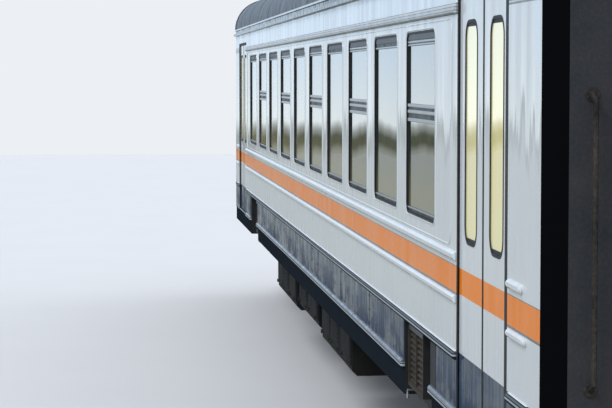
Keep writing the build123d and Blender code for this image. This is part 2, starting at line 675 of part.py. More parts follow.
def axle_box():
    """The axle box over the middle of the axle's +Y journal, with its two spring wings."""
    low, high = z(H_AXLE) - BOX_H / 2, z(H_AXLE) + BOX_H / 2
    body = block(-BOX_L / 2, BOX_L / 2, -BOX_W / 2, BOX_W / 2, low, high)
    body = chamfer(body.faces().sort_by(Axis.Z)[-1].edges().filter_by(Axis.Y), BOX_CORNER)
    wing = z(H_WING)
    body += block(-WING_HALF_L, WING_HALF_L, -BOX_W / 2, BOX_W / 2, wing, wing + WING_T)
    start, stop = -BOX_W, AXLE_HALF_L + JOURNAL_END_GAP - JOURNAL_Y
    body -= Pos(0, (start + stop) / 2, z(H_AXLE)) * across(JOURNAL_R + JOURNAL_CLEAR, stop - start)
    return Pos(0, JOURNAL_Y, 0) * body


def axle_boxes():
    boxes = [axle_box(), other_side(axle_box())]
    return [Pos(end * AXLE_X, 0, 0) * box for end in ENDS.values() for box in boxes]


def spring(x, y, radius, low, high):
    return Pos(x, y, low) * extrude(RegularPolygon(radius, SPRING_SIDES), high - low)


def bogie_springs():
    """Axle box springs, bolster springs, and the plank under the bolster springs on its links."""
    plank_low, plank_high = z(H_WING), z(H_WING) + WING_T
    half = BOLSTER_L / 2
    plank = block(-half, half, -JOURNAL_Y, JOURNAL_Y, plank_low, plank_high)
    pieces = []
    for side in SIDES.values():
        y, link_top = side * JOURNAL_Y, z(H_BEAM_LOW) - BEAM_DROP
        plank += block(-LINK_L / 2, LINK_L / 2, y - side * LINK_T, y, plank_high, link_top)
        for end in ENDS.values():
            x, y = end * BOLSTER_SPRING_X, side * BOLSTER_SPRING_Y
            pieces.append(spring(x, y, BOLSTER_SPRING_R, plank_high, z(H_BOLSTER_LOW)))
            for offset in (-AXLE_SPRING_X, AXLE_SPRING_X):
                x, y = end * AXLE_X + offset, side * JOURNAL_Y
                pieces.append(spring(x, y, AXLE_SPRING_R, plank_high, z(H_BEAM_LOW)))
    return pieces + [plank]


def brake_block():
    """The shoe beyond the +X side of a wheel at the origin, with its hanger up to the side beam."""
    inner_r = WHEEL_R + SHOE_CLEAR
    back = inner_r + SHOE_T
    tip = (inner_r * cos(radians(SHOE_ANGLE / 2)), inner_r * sin(radians(SHOE_ANGLE / 2)))
    top = H_BEAM_LOW + HANGER_ABOVE_BEAM_FOOT - H_AXLE
    edge = [
        ThreePointArc((tip[0], -tip[1]), (inner_r, 0), tip),
        Polyline(tip, (back - HANGER_T, tip[1]), (back - HANGER_T, top), (back, top), (back, -tip[1])),
        Line((back, -tip[1]), (tip[0], -tip[1])),
    ]
    shoe_y = WHEEL_BACK_Y + FLANGE_T + SHOE_CLEAR
    shoe = Pos(0, shoe_y, 0) * extrude(Plane.XZ * make_face(edge), -SHOE_W)
    beam_y = JOURNAL_Y - BEAM_W / 2
    return shoe + block(back - HANGER_T, back, shoe_y + SHOE_W, beam_y, top - HANGER_BRACKET_H, top)


def brake_blocks():
    pieces = []
    for end in ENDS.values():
        for shoe in (brake_block(), other_end(brake_block())):
            placed = Pos(end * AXLE_X, 0, z(H_AXLE)) * shoe
            pieces += [placed, other_side(placed)]
    return pieces


def seats():
    """Back-to-back benches on heater pedestals, between the windows on both sides of the aisle."""
    floor = z(H_FLOOR)
    top, foot = floor + SEAT_H, floor + SEAT_H - SEAT_T
    back = [
        (-SEAT_BACK_FOOT, top),
        (SEAT_BACK_FOOT, top),
        (SEAT_BACK_TOP, floor + SEAT_BACK_H),
        (-SEAT_BACK_TOP, floor + SEAT_BACK_H),
    ]
    bench = block(-SEAT_DEPTH, SEAT_DEPTH, 0, SEAT_LENGTH, foot, top)
    bench += extrude(Plane.XZ * make_face(Polyline(*back, close=True)), -SEAT_LENGTH)
    bench += block(-PEDESTAL_HALF_L, PEDESTAL_HALF_L, PEDESTAL_SET, SEAT_LENGTH, floor, foot)
    benches = []
    for i in range(1, WINDOWS):
        x = (WINDOW_XS[i - 1] + WINDOW_XS[i]) / 2
        placed = Pos(x, LINING_Y - SEAT_LENGTH, 0) * bench
        benches += [placed, other_side(placed)]
    return benches


def luggage_rack():
    low = z(H_CANT - RACK_UNDER_CANT)
    return block(WINDOW_XS[0], WINDOW_XS[-1], LINING_Y - RACK_DEPTH, LINING_Y, low, low + RACK_T)


def coupler():
    """The front automatic coupler: a shank in its carrier and a head with its open jaw."""
    face, axis = END_X + GANGWAY_OUT, z(H_COUPLER)
    low, high = axis - SHANK_H / 2, axis + SHANK_H / 2
    head_back = face + HEAD_OUTLINE[0][0]
    shank = block(END_X, head_back + SHANK_UNDER_HEAD, -SHANK_W / 2, SHANK_W / 2, low, high)
    shank += block(END_X - HEADSTOCK_L, END_X, -CARRIER_W / 2, CARRIER_W / 2, low, z(H_SOLE))
    outline = Polyline(*[(face + ahead, left) for ahead, left in HEAD_OUTLINE], close=True)
    return shank + extrude(Plane.XY.offset(axis - HEAD_H / 2) * make_face(outline), HEAD_H)


def equipment_boxes():
    """Boxes hung under the sole bars, as many of each row as fit between a bogie and the air tank."""
    boxes = []
    row_stop = ROW_END_X - TANK_L - EQUIPMENT_GAP
    for side_name, row in EQUIPMENT.items():
        side, x = SIDES[side_name], -ROW_END_X
        for length, inner, height in row:
            if x + length > row_stop:
                break
            outer = LINING_Y - EQUIPMENT_SET
            box = block(x, x + length, side * inner, side * outer, z(H_SOLE) - height, z(H_SOLE))
            boxes.append(chamfer(box.faces().sort_by(Axis.Z)[0].edges().filter_by(Axis.X), EQUIPMENT_CORNER))
            x += length + EQUIPMENT_GAP
    return boxes


def air_tank():
    """The +Y side's air tank along the coach, hung from the sole bar by two cradles."""
    y, mid = LINING_Y - TANK_FROM_LINING, z(H_SOLE) - TANK_UNDER_SOLE
    tank = Pos(0, y, mid) * Rot(0, 90, 0) * Cylinder(TANK_R, TANK_L)
    half, low = CRADLE_W / 2, mid + TANK_R - CRADLE_DEPTH
    for x in (-CRADLE_X, CRADLE_X):
        tank += block(x - half, x + half, y - half, LINING_Y - EQUIPMENT_SET, low, z(H_SOLE))
    return Pos(ROW_END_X - TANK_L / 2, 0, 0) * tank


def roof_vents():
    """Low ventilators along the ridge, each seated on the roof sheet."""
    half_l, half_w = VENT_L / 2, VENT_W / 2
    vent = block(-half_l, half_l, -half_w, half_w, z(H_TOP) - VENT_FOOT, z(H_TOP) + VENT_H)
    vent = chamfer(vent.faces().sort_by(Axis.Z)[-1].edges(), VENT_CORNER)
    vent -= roof_section(-SEAT_GAP, 2 * VENT_L)
    return [Pos((i - (VENTS - 1) / 2) * VENT_PITCH, 0, 0) * vent for i in range(VENTS)]


def save(name, shapes):
    """Write one node, from one solid or from several that don't touch."""
    solids = []
    for shape in shapes if isinstance(shapes, list) else [shapes]:
        solids += shape.solids()
    piece = solids[0] if len(solids) == 1 else Compound(children=solids)
    piece.label = name
    export_step(piece, f"parts/{name}.step")


def both_sides(shape):
    return [shape, other_side(shape)]


def four_corners(shape):
    return both_sides(shape) + both_sides(other_end(shape))


def save_body():
    save("side_wall_left", side_wall())
    save("side_wall_right", other_side(side_wall()))
    save("corner_walls", four_corners(corner_wall()))
    save("skirts", both_sides(skirt()))
    save("cantrails", both_sides(cantrail()))
    save("roof", roof_section(0, BODY_L) - roof_section(ROOF_T, BODY_L + 2 * CUT))
    save("roof_vents", roof_vents())
    save("floor", block(-END_X, END_X, -LINING_Y, LINING_Y, z(H_FLOOR_UNDER), z(H_FLOOR)))
    end_wall = bulkhead(END_X - END_T, END_T, END_DOORWAY_HALF_W)
    save("end_walls", [end_wall, other_end(end_wall)])
    partition = bulkhead(PARTITION_X - PARTITION_T, PARTITION_T, PARTITION_HALF_W)
    save("partitions", [partition, other_end(partition)])
    save("intake_grilles", four_corners(intake_grille()))


def save_windows():
    frames, panes = [], []
    for i, x in enumerate(WINDOW_XS):
        split = i % 2 == 0
        frames.append(window_frame(x, split))
        panes += window_panes(x, split)
    save("window_frames", frames + [turned(frame) for frame in frames])
    save("window_glass", panes + [turned(pane) for pane in panes])


def save_side_doors():
    for end, way_end in ENDS.items():
        for side, way_side in SIDES.items():
            for leaf, way in (("outer", 1), ("inner", -1)):
                for kind, piece in (("door", door_leaf(way)), ("door_glass", door_glass(way))):
                    piece = other_side(piece) if way_side < 0 else piece
                    piece = other_end(piece) if way_end < 0 else piece
                    save(f"{kind}_{end}_{side}_{leaf}", piece)


def save_ends():
    save("gangways", [gangway(), turned(gangway())])
    save("couplers", [coupler(), turned(coupler())])
    pieces = {
        "end_door": end_door(),
        "partition_door": partition_door(),
        "partition_glass": partition_glass(),
    }
    for name, piece in pieces.items():
        save(f"{name}_front", piece)
        save(f"{name}_rear", turned(piece))


def save_underframe():
    save("sole_bars", both_sides(sole_bar()))
    save("centre_sill", centre_sill())
    save("cross_members", cross_members())
    save("body_bolsters", [body_bolster(), other_end(body_bolster())])
    save("equipment_boxes", equipment_boxes())
    save("air_tanks", both_sides(air_tank()))


def save_bogies():
    number = 1
    for end, way in ENDS.items():
        place = Pos(way * PIVOT_X, 0, 0)
        save(f"bogie_frame_{end}", [place * bogie_frame(), place * bogie_bolster()])
        save(f"axle_boxes_{end}", [place * box for box in axle_boxes()])
        save(f"bogie_springs_{end}", [place * piece for piece in bogie_springs()])
        save(f"brake_blocks_{end}", [place * block_ for block_ in brake_blocks()])
        for axle in (1, -1):
            save(f"wheelset_{number}", place * Pos(axle * AXLE_X, 0, z(H_AXLE)) * wheelset())
            number += 1


def main():
    os.makedirs("parts", exist_ok=True)
    save_body()
    save_windows()
    save_side_doors()
    save_ends()
    save_underframe()
    save_bogies()
    save("seats", seats())
    save("luggage_racks", both_sides(luggage_rack()))


main()
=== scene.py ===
"""Looks of a suburban passenger coach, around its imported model. All lengths are in metres."""
import json
import math

import bmesh
import bpy
from mathutils import Matrix, Vector


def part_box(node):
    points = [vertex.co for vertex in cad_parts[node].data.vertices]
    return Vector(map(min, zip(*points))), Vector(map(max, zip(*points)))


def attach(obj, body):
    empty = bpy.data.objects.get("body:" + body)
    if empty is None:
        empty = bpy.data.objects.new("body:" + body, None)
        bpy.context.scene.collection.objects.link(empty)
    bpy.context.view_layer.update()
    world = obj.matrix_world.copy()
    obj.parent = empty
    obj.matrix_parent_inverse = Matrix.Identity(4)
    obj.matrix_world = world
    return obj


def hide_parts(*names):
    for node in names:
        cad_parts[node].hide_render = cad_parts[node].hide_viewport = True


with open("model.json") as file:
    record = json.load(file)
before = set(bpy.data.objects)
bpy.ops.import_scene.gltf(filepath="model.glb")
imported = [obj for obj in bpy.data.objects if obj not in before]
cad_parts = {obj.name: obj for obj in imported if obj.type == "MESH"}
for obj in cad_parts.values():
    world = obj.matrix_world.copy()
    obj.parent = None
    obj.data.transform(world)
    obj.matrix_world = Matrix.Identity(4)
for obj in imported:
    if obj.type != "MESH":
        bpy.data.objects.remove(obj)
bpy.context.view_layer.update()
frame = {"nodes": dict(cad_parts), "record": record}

# Places read from the frame
RIB_OUT = 0.02
FLOOR_H = 1.41
LEAF_HALF_GAP = 0.003
WALL_LOW, WALL_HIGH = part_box("side_wall_left")
SIDE_Y = WALL_HIGH.y - RIB_OUT
LINING_Y = WALL_LOW.y
DOOR_IN_X = WALL_HIGH.x
LINTEL_Z = WALL_HIGH.z
FLOOR_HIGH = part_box("floor")[1]
END_X = FLOOR_HIGH.x
FLOOR_Z = FLOOR_HIGH.z
RAIL_Z = FLOOR_Z - FLOOR_H
LEAF_LOW, LEAF_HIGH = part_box("door_front_left_outer")
LEAF_Y = LEAF_HIGH.y
DOOR_MID_X = LEAF_LOW.x - LEAF_HALF_GAP
DOOR_OUT_X = 2 * DOOR_MID_X - DOOR_IN_X
SKIRT_LOW, SKIRT_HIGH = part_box("skirts")
TOP_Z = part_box("roof")[1].z
AXLE_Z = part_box("wheelset_1")[1].z / 2
ENDS = {"front": 1, "rear": -1}
SIDES = {"left": 1, "right": -1}


def corner(end, side):
    """The matrix that takes a piece of the front left corner to another corner."""
    return Matrix.Diagonal((ENDS[end], SIDES[side], 1, 1))


CORNERS = [corner(end, side) for end in ENDS for side in SIDES]
BOTH_SIDES = [corner("front", side) for side in SIDES]
BOTH_ENDS = [Matrix(), Matrix.Rotation(math.pi, 4, "Z")]
MIRRORED_ENDS = [corner(end, "left") for end in ENDS]


def height(above_rail):
    return above_rail + RAIL_Z


# Shapes


def span(place, low, high):
    """The span between two distances from a place."""
    return place + low, place + high


def about(middle, half):
    """The span that reaches as far to both sides of a middle."""
    return span(middle, -half, half)


def rounded(low, high, radius, steps=6):
    """A rounded rectangle's outline between two of its corners, in two axes."""
    points = []
    for i, signs in enumerate(((1, 1), (-1, 1), (-1, -1), (1, -1))):
        middle = [(b if sign > 0 else a) - sign * radius for a, b, sign in zip(low, high, signs)]
        for k in range(steps + 1):
            turn = math.radians(90 * (i + k / steps))
            points.append((middle[0] + radius * math.cos(turn), middle[1] + radius * math.sin(turn)))
    return points


def frame_outlines(low, high, radius, *insets):
    """The outlines of a rounded rectangle made smaller all round by each inset."""
    lines = []
    for inset in insets:
        corners = [a + inset for a in low], [a - inset for a in high]
        lines.append(rounded(*corners, max(radius - inset, 0.001)))
    return lines


def raised(outline, axis, along):
    """The points of an outline, placed at a distance along the third axis."""
    return [(*point[:axis], along, *point[axis:]) for point in outline]


def circle(middle, radius, normal, other, steps):
    turns = [2 * math.pi * k / steps for k in range(steps)]
    return [middle + radius * (math.cos(turn) * normal + math.sin(turn) * other) for turn in turns]


class Shape:
    """A mesh in the making, from simple closed forms added one by one."""

    def __init__(self):
        self.points = []
        self.faces = []

    def put(self, points, faces):
        start = len(self.points)
        self.points += [Vector(p) for p in points]
        self.faces += [[start + i for i in face] for face in faces]
        return self

    def add(self, other, matrix=Matrix()):
        return self.put([matrix @ p for p in other.points], other.faces)

    def copies(self, matrices):
        made = Shape()
        for matrix in matrices:
            made.add(self, matrix)
        return made

    def skin(self, rings, closed=False):
        """Faces from each ring of points to the next, with flat ends unless it closes on itself.

        A ring is a single point where the form comes to a tip.
        """
        n = max(len(ring) for ring in rings)
        points, rows, faces = [], [], []
        for ring in rings:
            rows.append([len(points) + i % len(ring) for i in range(n)])
            points += ring
        for a, b in zip(rows, rows[1:] + rows[:1] if closed else rows[1:]):
            for i, j in zip(range(n), [*range(1, n), 0]):
                faces.append(list(dict.fromkeys((a[i], a[j], b[j], b[i]))))
        if not closed:
            faces += [row for row in (rows[0], rows[-1]) if row[0] != row[-1]]
        return self.put(points, faces)

    def box(self, xs, ys, zs, bevel=0.0):
        """A box over a span along each axis, with chamfered edges."""
        pairs = [sorted(pair) for pair in (xs, ys, zs)]
        bevel = min([bevel] + [(high - low) * 0.45 for low, high in pairs])
        points, faces = [], []
        for cut in range(8):
            signs = [cut >> 2 & 1, cut >> 1 & 1, cut & 1]
            ends = [pair[sign] for pair, sign in zip(pairs, signs)]
            inner = [end - bevel * (1 if sign else -1) for end, sign in zip(ends, signs)]
            cuts = [[*inner[:axis], ends[axis], *inner[axis + 1:]] for axis in range(3)]
            points += cuts if bevel > 0 else [ends]
        spots = {(cut, axis): 3 * cut + axis if bevel > 0 else cut for cut in range(8) for axis in range(3)}
        for axis in range(3):
            a, u, v = 4 >> axis, 4 >> (axis + 1) % 3, 4 >> (axis + 2) % 3
            for side in (0, a):
                faces.append([spots[side + c, axis] for c in (0, u, u + v, v)])
            if bevel > 0:
                one, two = (axis + 1) % 3, (axis + 2) % 3
                for c in (0, u, v, u + v):
                    faces.append([spots[c, one], spots[c, two], spots[c + a, two], spots[c + a, one]])
        if bevel > 0:
            faces += [[spots[cut, axis] for axis in range(3)] for cut in range(8)]
        return self.put(points, faces)

    def prism(self, outline, axis, start, stop):
        """An outline in the two other axes, drawn out along one axis."""
        return self.skin([raised(outline, axis, at) for at in (start, stop)])

    def ring(self, outer, inner, axis, start, stop):
        """The band between two outlines of as many points, drawn out along one axis."""
        loops = ((outer, start), (outer, stop), (inner, stop), (inner, start))
        return self.skin([raised(line, axis, at) for line, at in loops], closed=True)

    def tube(self, path, radius, sides=10, closed=False):
        """A round bar along a path."""
        path = [Vector(p) for p in path]
        rings, normal = [], None
        for i, spot in enumerate(path):
            before = path[i - 1] if i or closed else spot
            after = path[(i + 1) % len(path)] if i < len(path) - 1 or closed else spot
            along = (after - before).normalized()
            normal = along.orthogonal() if normal is None else normal - along * normal.dot(along)
            normal.normalize()
            rings.append(circle(spot, radius, normal, along.cross(normal), sides))
        return self.skin(rings, closed)

    def lathe(self, profile, centre, axis, steps=48):
        """A profile of (distance along the axis, radius), turned about the axis."""
        axis = Vector(axis).normalized()
        normal = axis.orthogonal().normalized()
        other = axis.cross(normal)
        rings = []
        for along, radius in profile:
            middle = Vector(centre) + axis * along
            rings.append(circle(middle, radius, normal, other, steps if radius else 1))
        return self.skin(rings)

    def disc(self, centre, axis, radius, thickness, chamfer=0.002, steps=24):
        """A short round plate with a chamfered face, such as a cover, a washer or a bolt head."""
        profile = [(0, radius), (thickness - chamfer, radius), (thickness, radius - chamfer)]
        return self.lathe(profile, centre, axis, steps)


def link(made):
    bpy.context.scene.collection.objects.link(made)
    return made


def mesh_object(name, shape, material):
    mesh = bpy.data.meshes.new(name)
    mesh.from_pydata([tuple(p) for p in shape.points], [], shape.faces)
    mesh.materials.append(material)
    return link(bpy.data.objects.new(name, mesh))


def piece(name, shape, look, body="coach", slot=None, sharp=35.0, stands_for=()):
    """One object of the scene, riding on a body. Its look is a slot's name, or else a material."""
    if isinstance(look, str):
        slot, look = look, LOOKS[look]
    made = mesh_object(name, shape, look)
    work = bmesh.new()
    work.from_mesh(made.data)
    bmesh.ops.recalc_face_normals(work, faces=work.faces)
    work.to_mesh(made.data)
    work.free()
    made.data.shade_smooth()
    made.data.set_sharp_from_angle(angle=math.radians(sharp))
    made.modifiers.new("edges", "WEIGHTED_NORMAL").keep_sharp = True
    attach(made, body)
    if stands_for:
        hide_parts(*stands_for)


# Materials


class Nodes:
    """The node tree of a material or a world."""

    def __init__(self, owner):
        owner.use_nodes = True
        self.tree = owner.node_tree

    def feed(self, socket, value):
        if isinstance(value, bpy.types.NodeSocket):
            self.tree.links.new(value, socket)
        elif hasattr(value, "__len__") and len(value) == 3 and socket.type == "RGBA":
            socket.default_value = (*value, 1)
        else:
            socket.default_value = value

    def node(self, kind, inputs=None, **settings):
        made = self.tree.nodes.new(kind)
        for key, value in settings.items():
            setattr(made, key, value)
        for key, value in (inputs or {}).items():
            self.feed(made.inputs[key], value)
        return made

    def ramp(self, fac, stops, steps=False):
        """A colour ramp with stops of (place, colour or grey), from low to high."""
        made = self.node("ShaderNodeValToRGB", {0: fac})
        band = made.color_ramp
        band.interpolation = "CONSTANT" if steps else "LINEAR"
        while len(band.elements) < len(stops):
            band.elements.new(0.5)
        for element, (spot, colour) in zip(band.elements, stops):
            element.position = spot
            element.color = (*colour, 1) if hasattr(colour, "__len__") else (colour, colour, colour, 1)
        return made.outputs[0]


class Look(Nodes):
    """A node material around one principled shader. Its coordinates are the frame's own, in metres."""

    def __init__(self, name, colour=None, **constants):
        self.material = bpy.data.materials.new(name)
        super().__init__(self.material)
        self.shader = self.tree.nodes["Principled BSDF"]
        for key, value in constants.items():
            self.shader.inputs[key.replace("_", " ")].default_value = value
        self.place = self.node("ShaderNodeTexCoord").outputs["Object"]
        self.xyz = self.node("ShaderNodeSeparateXYZ", {0: self.place}).outputs
        if colour:
            self.colour(colour)

    def noise(self, scale, stretch=(1, 1, 1), detail=3.0, rough=0.5):
        spot = self.node("ShaderNodeMapping", {"Vector": self.place, "Scale": stretch}).outputs[0]
        inputs = {"Vector": spot, "Scale": scale, "Detail": detail, "Roughness": rough}
        return self.node("ShaderNodeTexNoise", inputs).outputs["Fac"]

    def mix(self, fac, a, b, blend="MIX"):
        made = self.node("ShaderNodeMix", {0: fac, 6: a, 7: b}, data_type="RGBA", blend_type=blend)
        return made.outputs[2]

    def math(self, operation, a, b=0.0, c=0.0, clamp=False):
        made = self.node("ShaderNodeMath", {0: a, 1: b, 2: c}, operation=operation, use_clamp=clamp)
        return made.outputs[0]

    def times(self, first, *others):
        """The product of patterns and numbers."""
        for other in others:
            first = self.math("MULTIPLY", first, other)
        return first

    def scaled(self, value, factor, start):
        """A start, with a factor times the value on top."""
        return self.math("MULTIPLY_ADD", value, factor, start)

    def rise(self, value, start, reach):
        """0 up to a start, and 1 from a reach past it."""
        return self.math("DIVIDE", self.math("SUBTRACT", value, start), reach, clamp=True)

    def between(self, value, low, high, soft=0.004):
        """1 where a value lies between two others, with soft edges."""
        return self.times(self.rise(value, low, soft), self.rise(high, value, soft))

    def beyond(self, value, limit):
        """1 where a value is further from zero than a limit."""
        return self.math("GREATER_THAN", self.math("ABSOLUTE", value), limit)

    def colour(self, value):
        self.feed(self.shader.inputs["Base Color"], value)

    def rough(self, value):
        self.feed(self.shader.inputs["Roughness"], value)

    def wave(self, *layers, faces=("Coat Normal",)):
        """Lean the faces up and down by layers of (pattern, reach), as on wavy sheets."""
        lean = 0.0
        for value, reach in layers:
            lean = self.scaled(self.math("SUBTRACT", value, 0.5), reach, lean)
        normal = self.node("ShaderNodeNewGeometry").outputs["Normal"]
        up = self.node("ShaderNodeCombineXYZ", {2: lean}).outputs[0]
        tilted = self.node("ShaderNodeVectorMath", {0: normal, 1: up}, operation="ADD").outputs[0]
        tilted = self.node("ShaderNodeVectorMath", {0: tilted}, operation="NORMALIZE").outputs[0]
        for face in faces:
            self.feed(self.shader.inputs[face], tilted)

    def bump(self, *layers):
        """Bump from layers of (height, strength, distance), the widest first."""
        above = {}
        for value, strength, distance in layers:
            inputs = {"Height": value, "Strength": strength, "Distance": distance, **above}
            above = {"Normal": self.node("ShaderNodeBump", inputs).outputs[0]}
        self.feed(self.shader.inputs["Normal"], above["Normal"])


WHITE = (0.76, 0.81, 0.85)
# Fascia under the gutter painted bluish-white, as painted sky light and sky reflection where the gutter
# shades it
FASCIA_PAINTED_SKYLIGHT = (0.80, 0.90, 1.0)
STRIPE = (1.0, 0.27, 0.01)
SLATE = (0.014, 0.032, 0.08)
# Painted shade lines at the stripe's ribs and between the cornice's beads
SHADE_LINE = (0.20, 0.22, 0.25)
# Near-black painted shade of the gap between coaches, on the side's ends
END_SHADE_BLACK = (0.004, 0.0045, 0.0055)
INSIDE_GREY = (0.40, 0.42, 0.40)
BLACK = (0.012, 0.013, 0.016)
# Painted shade along the lower edges of the ribs
RIB_SHADE = (0.02, 0.024, 0.032)
# Painted shade lines of the moulding over the slate band
MOULDING_SHADE = (0.015, 0.020, 0.026)
# Painted highlight rows on the cornice's beads
CORNICE_HIGHLIGHT = (0.62, 0.66, 0.70)
STREAK_GRIME = (0.17, 0.175, 0.18)
STREAK_CHALK = (0.75, 0.78, 0.8)
PATCH_SHADE = (0.4, 0.43, 0.46)
# Painted sheen: pale blue streaks on the slate band, for its reflection of the sky
SLATE_SHEEN = (0.10, 0.15, 0.23)
BRAKE_DUST = (0.13, 0.095, 0.065)
# Shares of each kind of dirt, and of the coat that goes where the painted glow of the room shows through the
# panes
CHALK_SHARE, PATCH_SHARE, COAT_LOSS = 0.12, 0.2, 0.7
# The paint turns to the inside's grey this far behind the leaves' face, and to near-black painted shade this
# near to an end
INSIDE_BEHIND, END_SKIN = 0.012, 0.0012
SLATE_LOW_H, SLATE_HIGH_H = 1.216, 1.470
# Paint of the side, from below, with painted highlights and shade lines on the ribs, cornice and gutter:
# lower height above the rail, colour
SIDE_BANDS = [
    (0.0, BLACK),
    # Lower rib: pale grey rows, partly its silver moulding and partly painted highlight, between painted
    # shade lines
    (1.174, (0.42, 0.46, 0.50)),
    (1.187, RIB_SHADE),
    (1.192, (0.32, 0.36, 0.41)),
    (1.198, (0.08, 0.10, 0.14)),
    (SLATE_LOW_H, SLATE),
    # Moulding over the slate band: painted shade lines round a painted highlight row
    (SLATE_HIGH_H, MOULDING_SHADE),
    (1.487, (0.40, 0.45, 0.50)),
    (1.498, MOULDING_SHADE),
    (1.503, (0.12, 0.14, 0.165)),
    (1.511, RIB_SHADE),
    (1.516, WHITE),
    # Ribs beside the stripe: painted shade lines at the stripe's edges
    (1.812, SHADE_LINE),
    (1.825, STRIPE),
    (1.963, SHADE_LINE),
    (1.968, WHITE),
    # Cornice: rows of painted highlight and painted shade on its beads
    (3.280, (0.24, 0.26, 0.28)),
    (3.289, CORNICE_HIGHLIGHT),
    (3.297, SHADE_LINE),
    (3.302, (0.52, 0.56, 0.60)),
    (3.316, SHADE_LINE),
    (3.320, CORNICE_HIGHLIGHT),
    (3.334, SHADE_LINE),
    # Fascia in painted sky light
    (3.340, FASCIA_PAINTED_SKYLIGHT),
    # Gutter: black rows as painted shadow under its lip and in its gap
    (3.508, BLACK),
    (3.513, (0.13, 0.12, 0.11)),
    (3.541, BLACK),
    (3.581, (0.55, 0.58, 0.6)),
]
LEAF_BANDS = [(0.0, SLATE), (1.512, WHITE), (1.820, STRIPE), (1.957, WHITE)]
# Shaded foot of the ribs between the doorways: lower and upper height above the rail
RIB_FEET = [(1.765, 1.775), (1.988, 1.998)]
# Heights above the rail between which the paint changes, one colour ramp each to keep narrow rows sharp
SPANS = [(1.1, 1.6), (1.7, 2.1), (3.2, 3.7)]
# Where the clear coat is worn: lower and upper height above the rail, share
SIDE_WORN = [(1.16, 1.203, 0.95), (1.468, 1.52, 0.95), (1.808, 1.97, 0.25), (3.27, 3.345, 0.4)]
LEAF_WORN = [(1.82, 1.957, 0.25)]
TOP_H = 4.4
# Film of grime: height as a share of TOP_H, cover; heavy low down as road film, and darker again towards the
# gutter
FILM_BY_HEIGHT = [(0.25, 0.36), (0.36, 0.14), (0.47, 0.14), (0.9, 0.22)]
# Splashes on the slate band: height as a share of SPLASH_RISE, cover
SPLASH_RISE = 0.25
SPLASHES = [(0, 0.85), (1, 0.3)]
# Depth over which the painted glow of the window panes fades in
GLOW_FADE = 0.3


def painted_rows(look, rows):
    """The colours of rows of (lower height above the rail, colour), from below."""
    z = look.xyz[2]
    painted = None
    for low, high in SPANS:
        under = [colour for h, colour in rows if h <= low][-1]
        stops = [(0, under)] + [((h - low) / (high - low), colour) for h, colour in rows if low < h < high]
        part = look.ramp(look.rise(z, height(low), high - low), stops, steps=True)
        above = look.math("GREATER_THAN", z, height(low))
        painted = look.mix(above, painted, part) if painted else part
    return painted


def side_paint(name, rows, worn_rows, slate_top, dirt=1.0):
    """Gloss enamel in bands, with painted highlights and shade lines on the ribs, cornice and gutter, run-off
    streaks, road film low down, painted sheen on the slate band, painted shade at the ends and slightly wavy
    sheets.
    """
    look = Look(name, Specular_IOR_Level=0.0, Coat_Roughness=0.05)
    x, y, z = look.xyz
    slate_low, slate_high = height(SLATE_LOW_H), height(slate_top)
    streaks = look.ramp(look.noise(9, (1, 1, 0.06), 6, 0.6), [(0.36, 0), (0.64, 1)])
    fine = look.ramp(look.noise(55, (1, 1, 0.03), 4, 0.6), [(0.4, 0), (0.8, 1)])
    patches = look.noise(0.9, (1, 1, 1.6), 4)
    film = look.times(look.ramp(look.math("DIVIDE", z, TOP_H), FILM_BY_HEIGHT), dirt)
    worn = 0.0
    for low, high, share in worn_rows:
        worn = look.math("MAXIMUM", worn, look.times(look.between(z, height(low), height(high)), share))
    kept = look.math("SUBTRACT", 1.0, worn)
    at_end = look.beyond(x, END_X - END_SKIN)

    paint = painted_rows(look, rows)
    inside = look.math("LESS_THAN", look.math("ABSOLUTE", x), DOOR_IN_X)
    # Painted shade lines under the ribs between the doorways
    for low, high in RIB_FEET:
        paint = look.mix(look.times(look.between(z, height(low), height(high)), inside), paint, SHADE_LINE)
    paint = look.mix(look.times(film, streaks, kept), paint, STREAK_GRIME)
    paint = look.mix(look.times(fine, CHALK_SHARE * dirt, kept), paint, STREAK_CHALK)
    paint = look.mix(look.times(patches, PATCH_SHARE), paint, PATCH_SHADE, "MULTIPLY")
    # Painted sheen of the slate band, in pale blue streaks
    slate_sheen_mask = look.times(look.between(z, height(1.215), height(1.62), 0.16), fine)
    slate_sheen_mask = look.times(slate_sheen_mask, look.math("LESS_THAN", z, slate_high))
    paint = look.mix(slate_sheen_mask, paint, SLATE_SHEEN)
    paint = look.mix(look.beyond(y, LEAF_Y - INSIDE_BEHIND), INSIDE_GREY, paint)
    # The ends of the side sheets get the near-black painted shade
    look.colour(look.mix(at_end, paint, END_SHADE_BLACK))

    blots = look.times(look.noise(2.6, (1, 1, 2.6), 5, 0.6), 0.6)
    ragged = look.ramp(look.scaled(look.noise(11, (1, 1, 0.3), 7, 0.7), 0.4, blots), [(0.45, 0), (0.55, 1)])
    cover = look.ramp(look.rise(z, slate_low, SPLASH_RISE), SPLASHES)
    splashed = look.times(look.between(z, slate_low, slate_high), cover, ragged)
    dull = look.math("MAXIMUM", look.math("MAXIMUM", worn, at_end), splashed)
    coat = look.times(look.scaled(streaks, -0.5, 1.0), look.math("SUBTRACT", 1.0, dull))
    look.feed(look.shader.inputs["Coat Weight"], coat)
    look.rough(look.scaled(look.math("ADD", streaks, patches), 0.12, 0.2))
    look.bump((look.noise(1.6, (1, 1, 1.3), 2), 0.35, 0.012), (look.noise(240, detail=1), 0.04, 0.001))
    look.wave((look.noise(24, (1, 1, 0.05), 3), 0.16), (look.noise(5, (1, 1, 0.3), 2), 0.12))
    return look.material


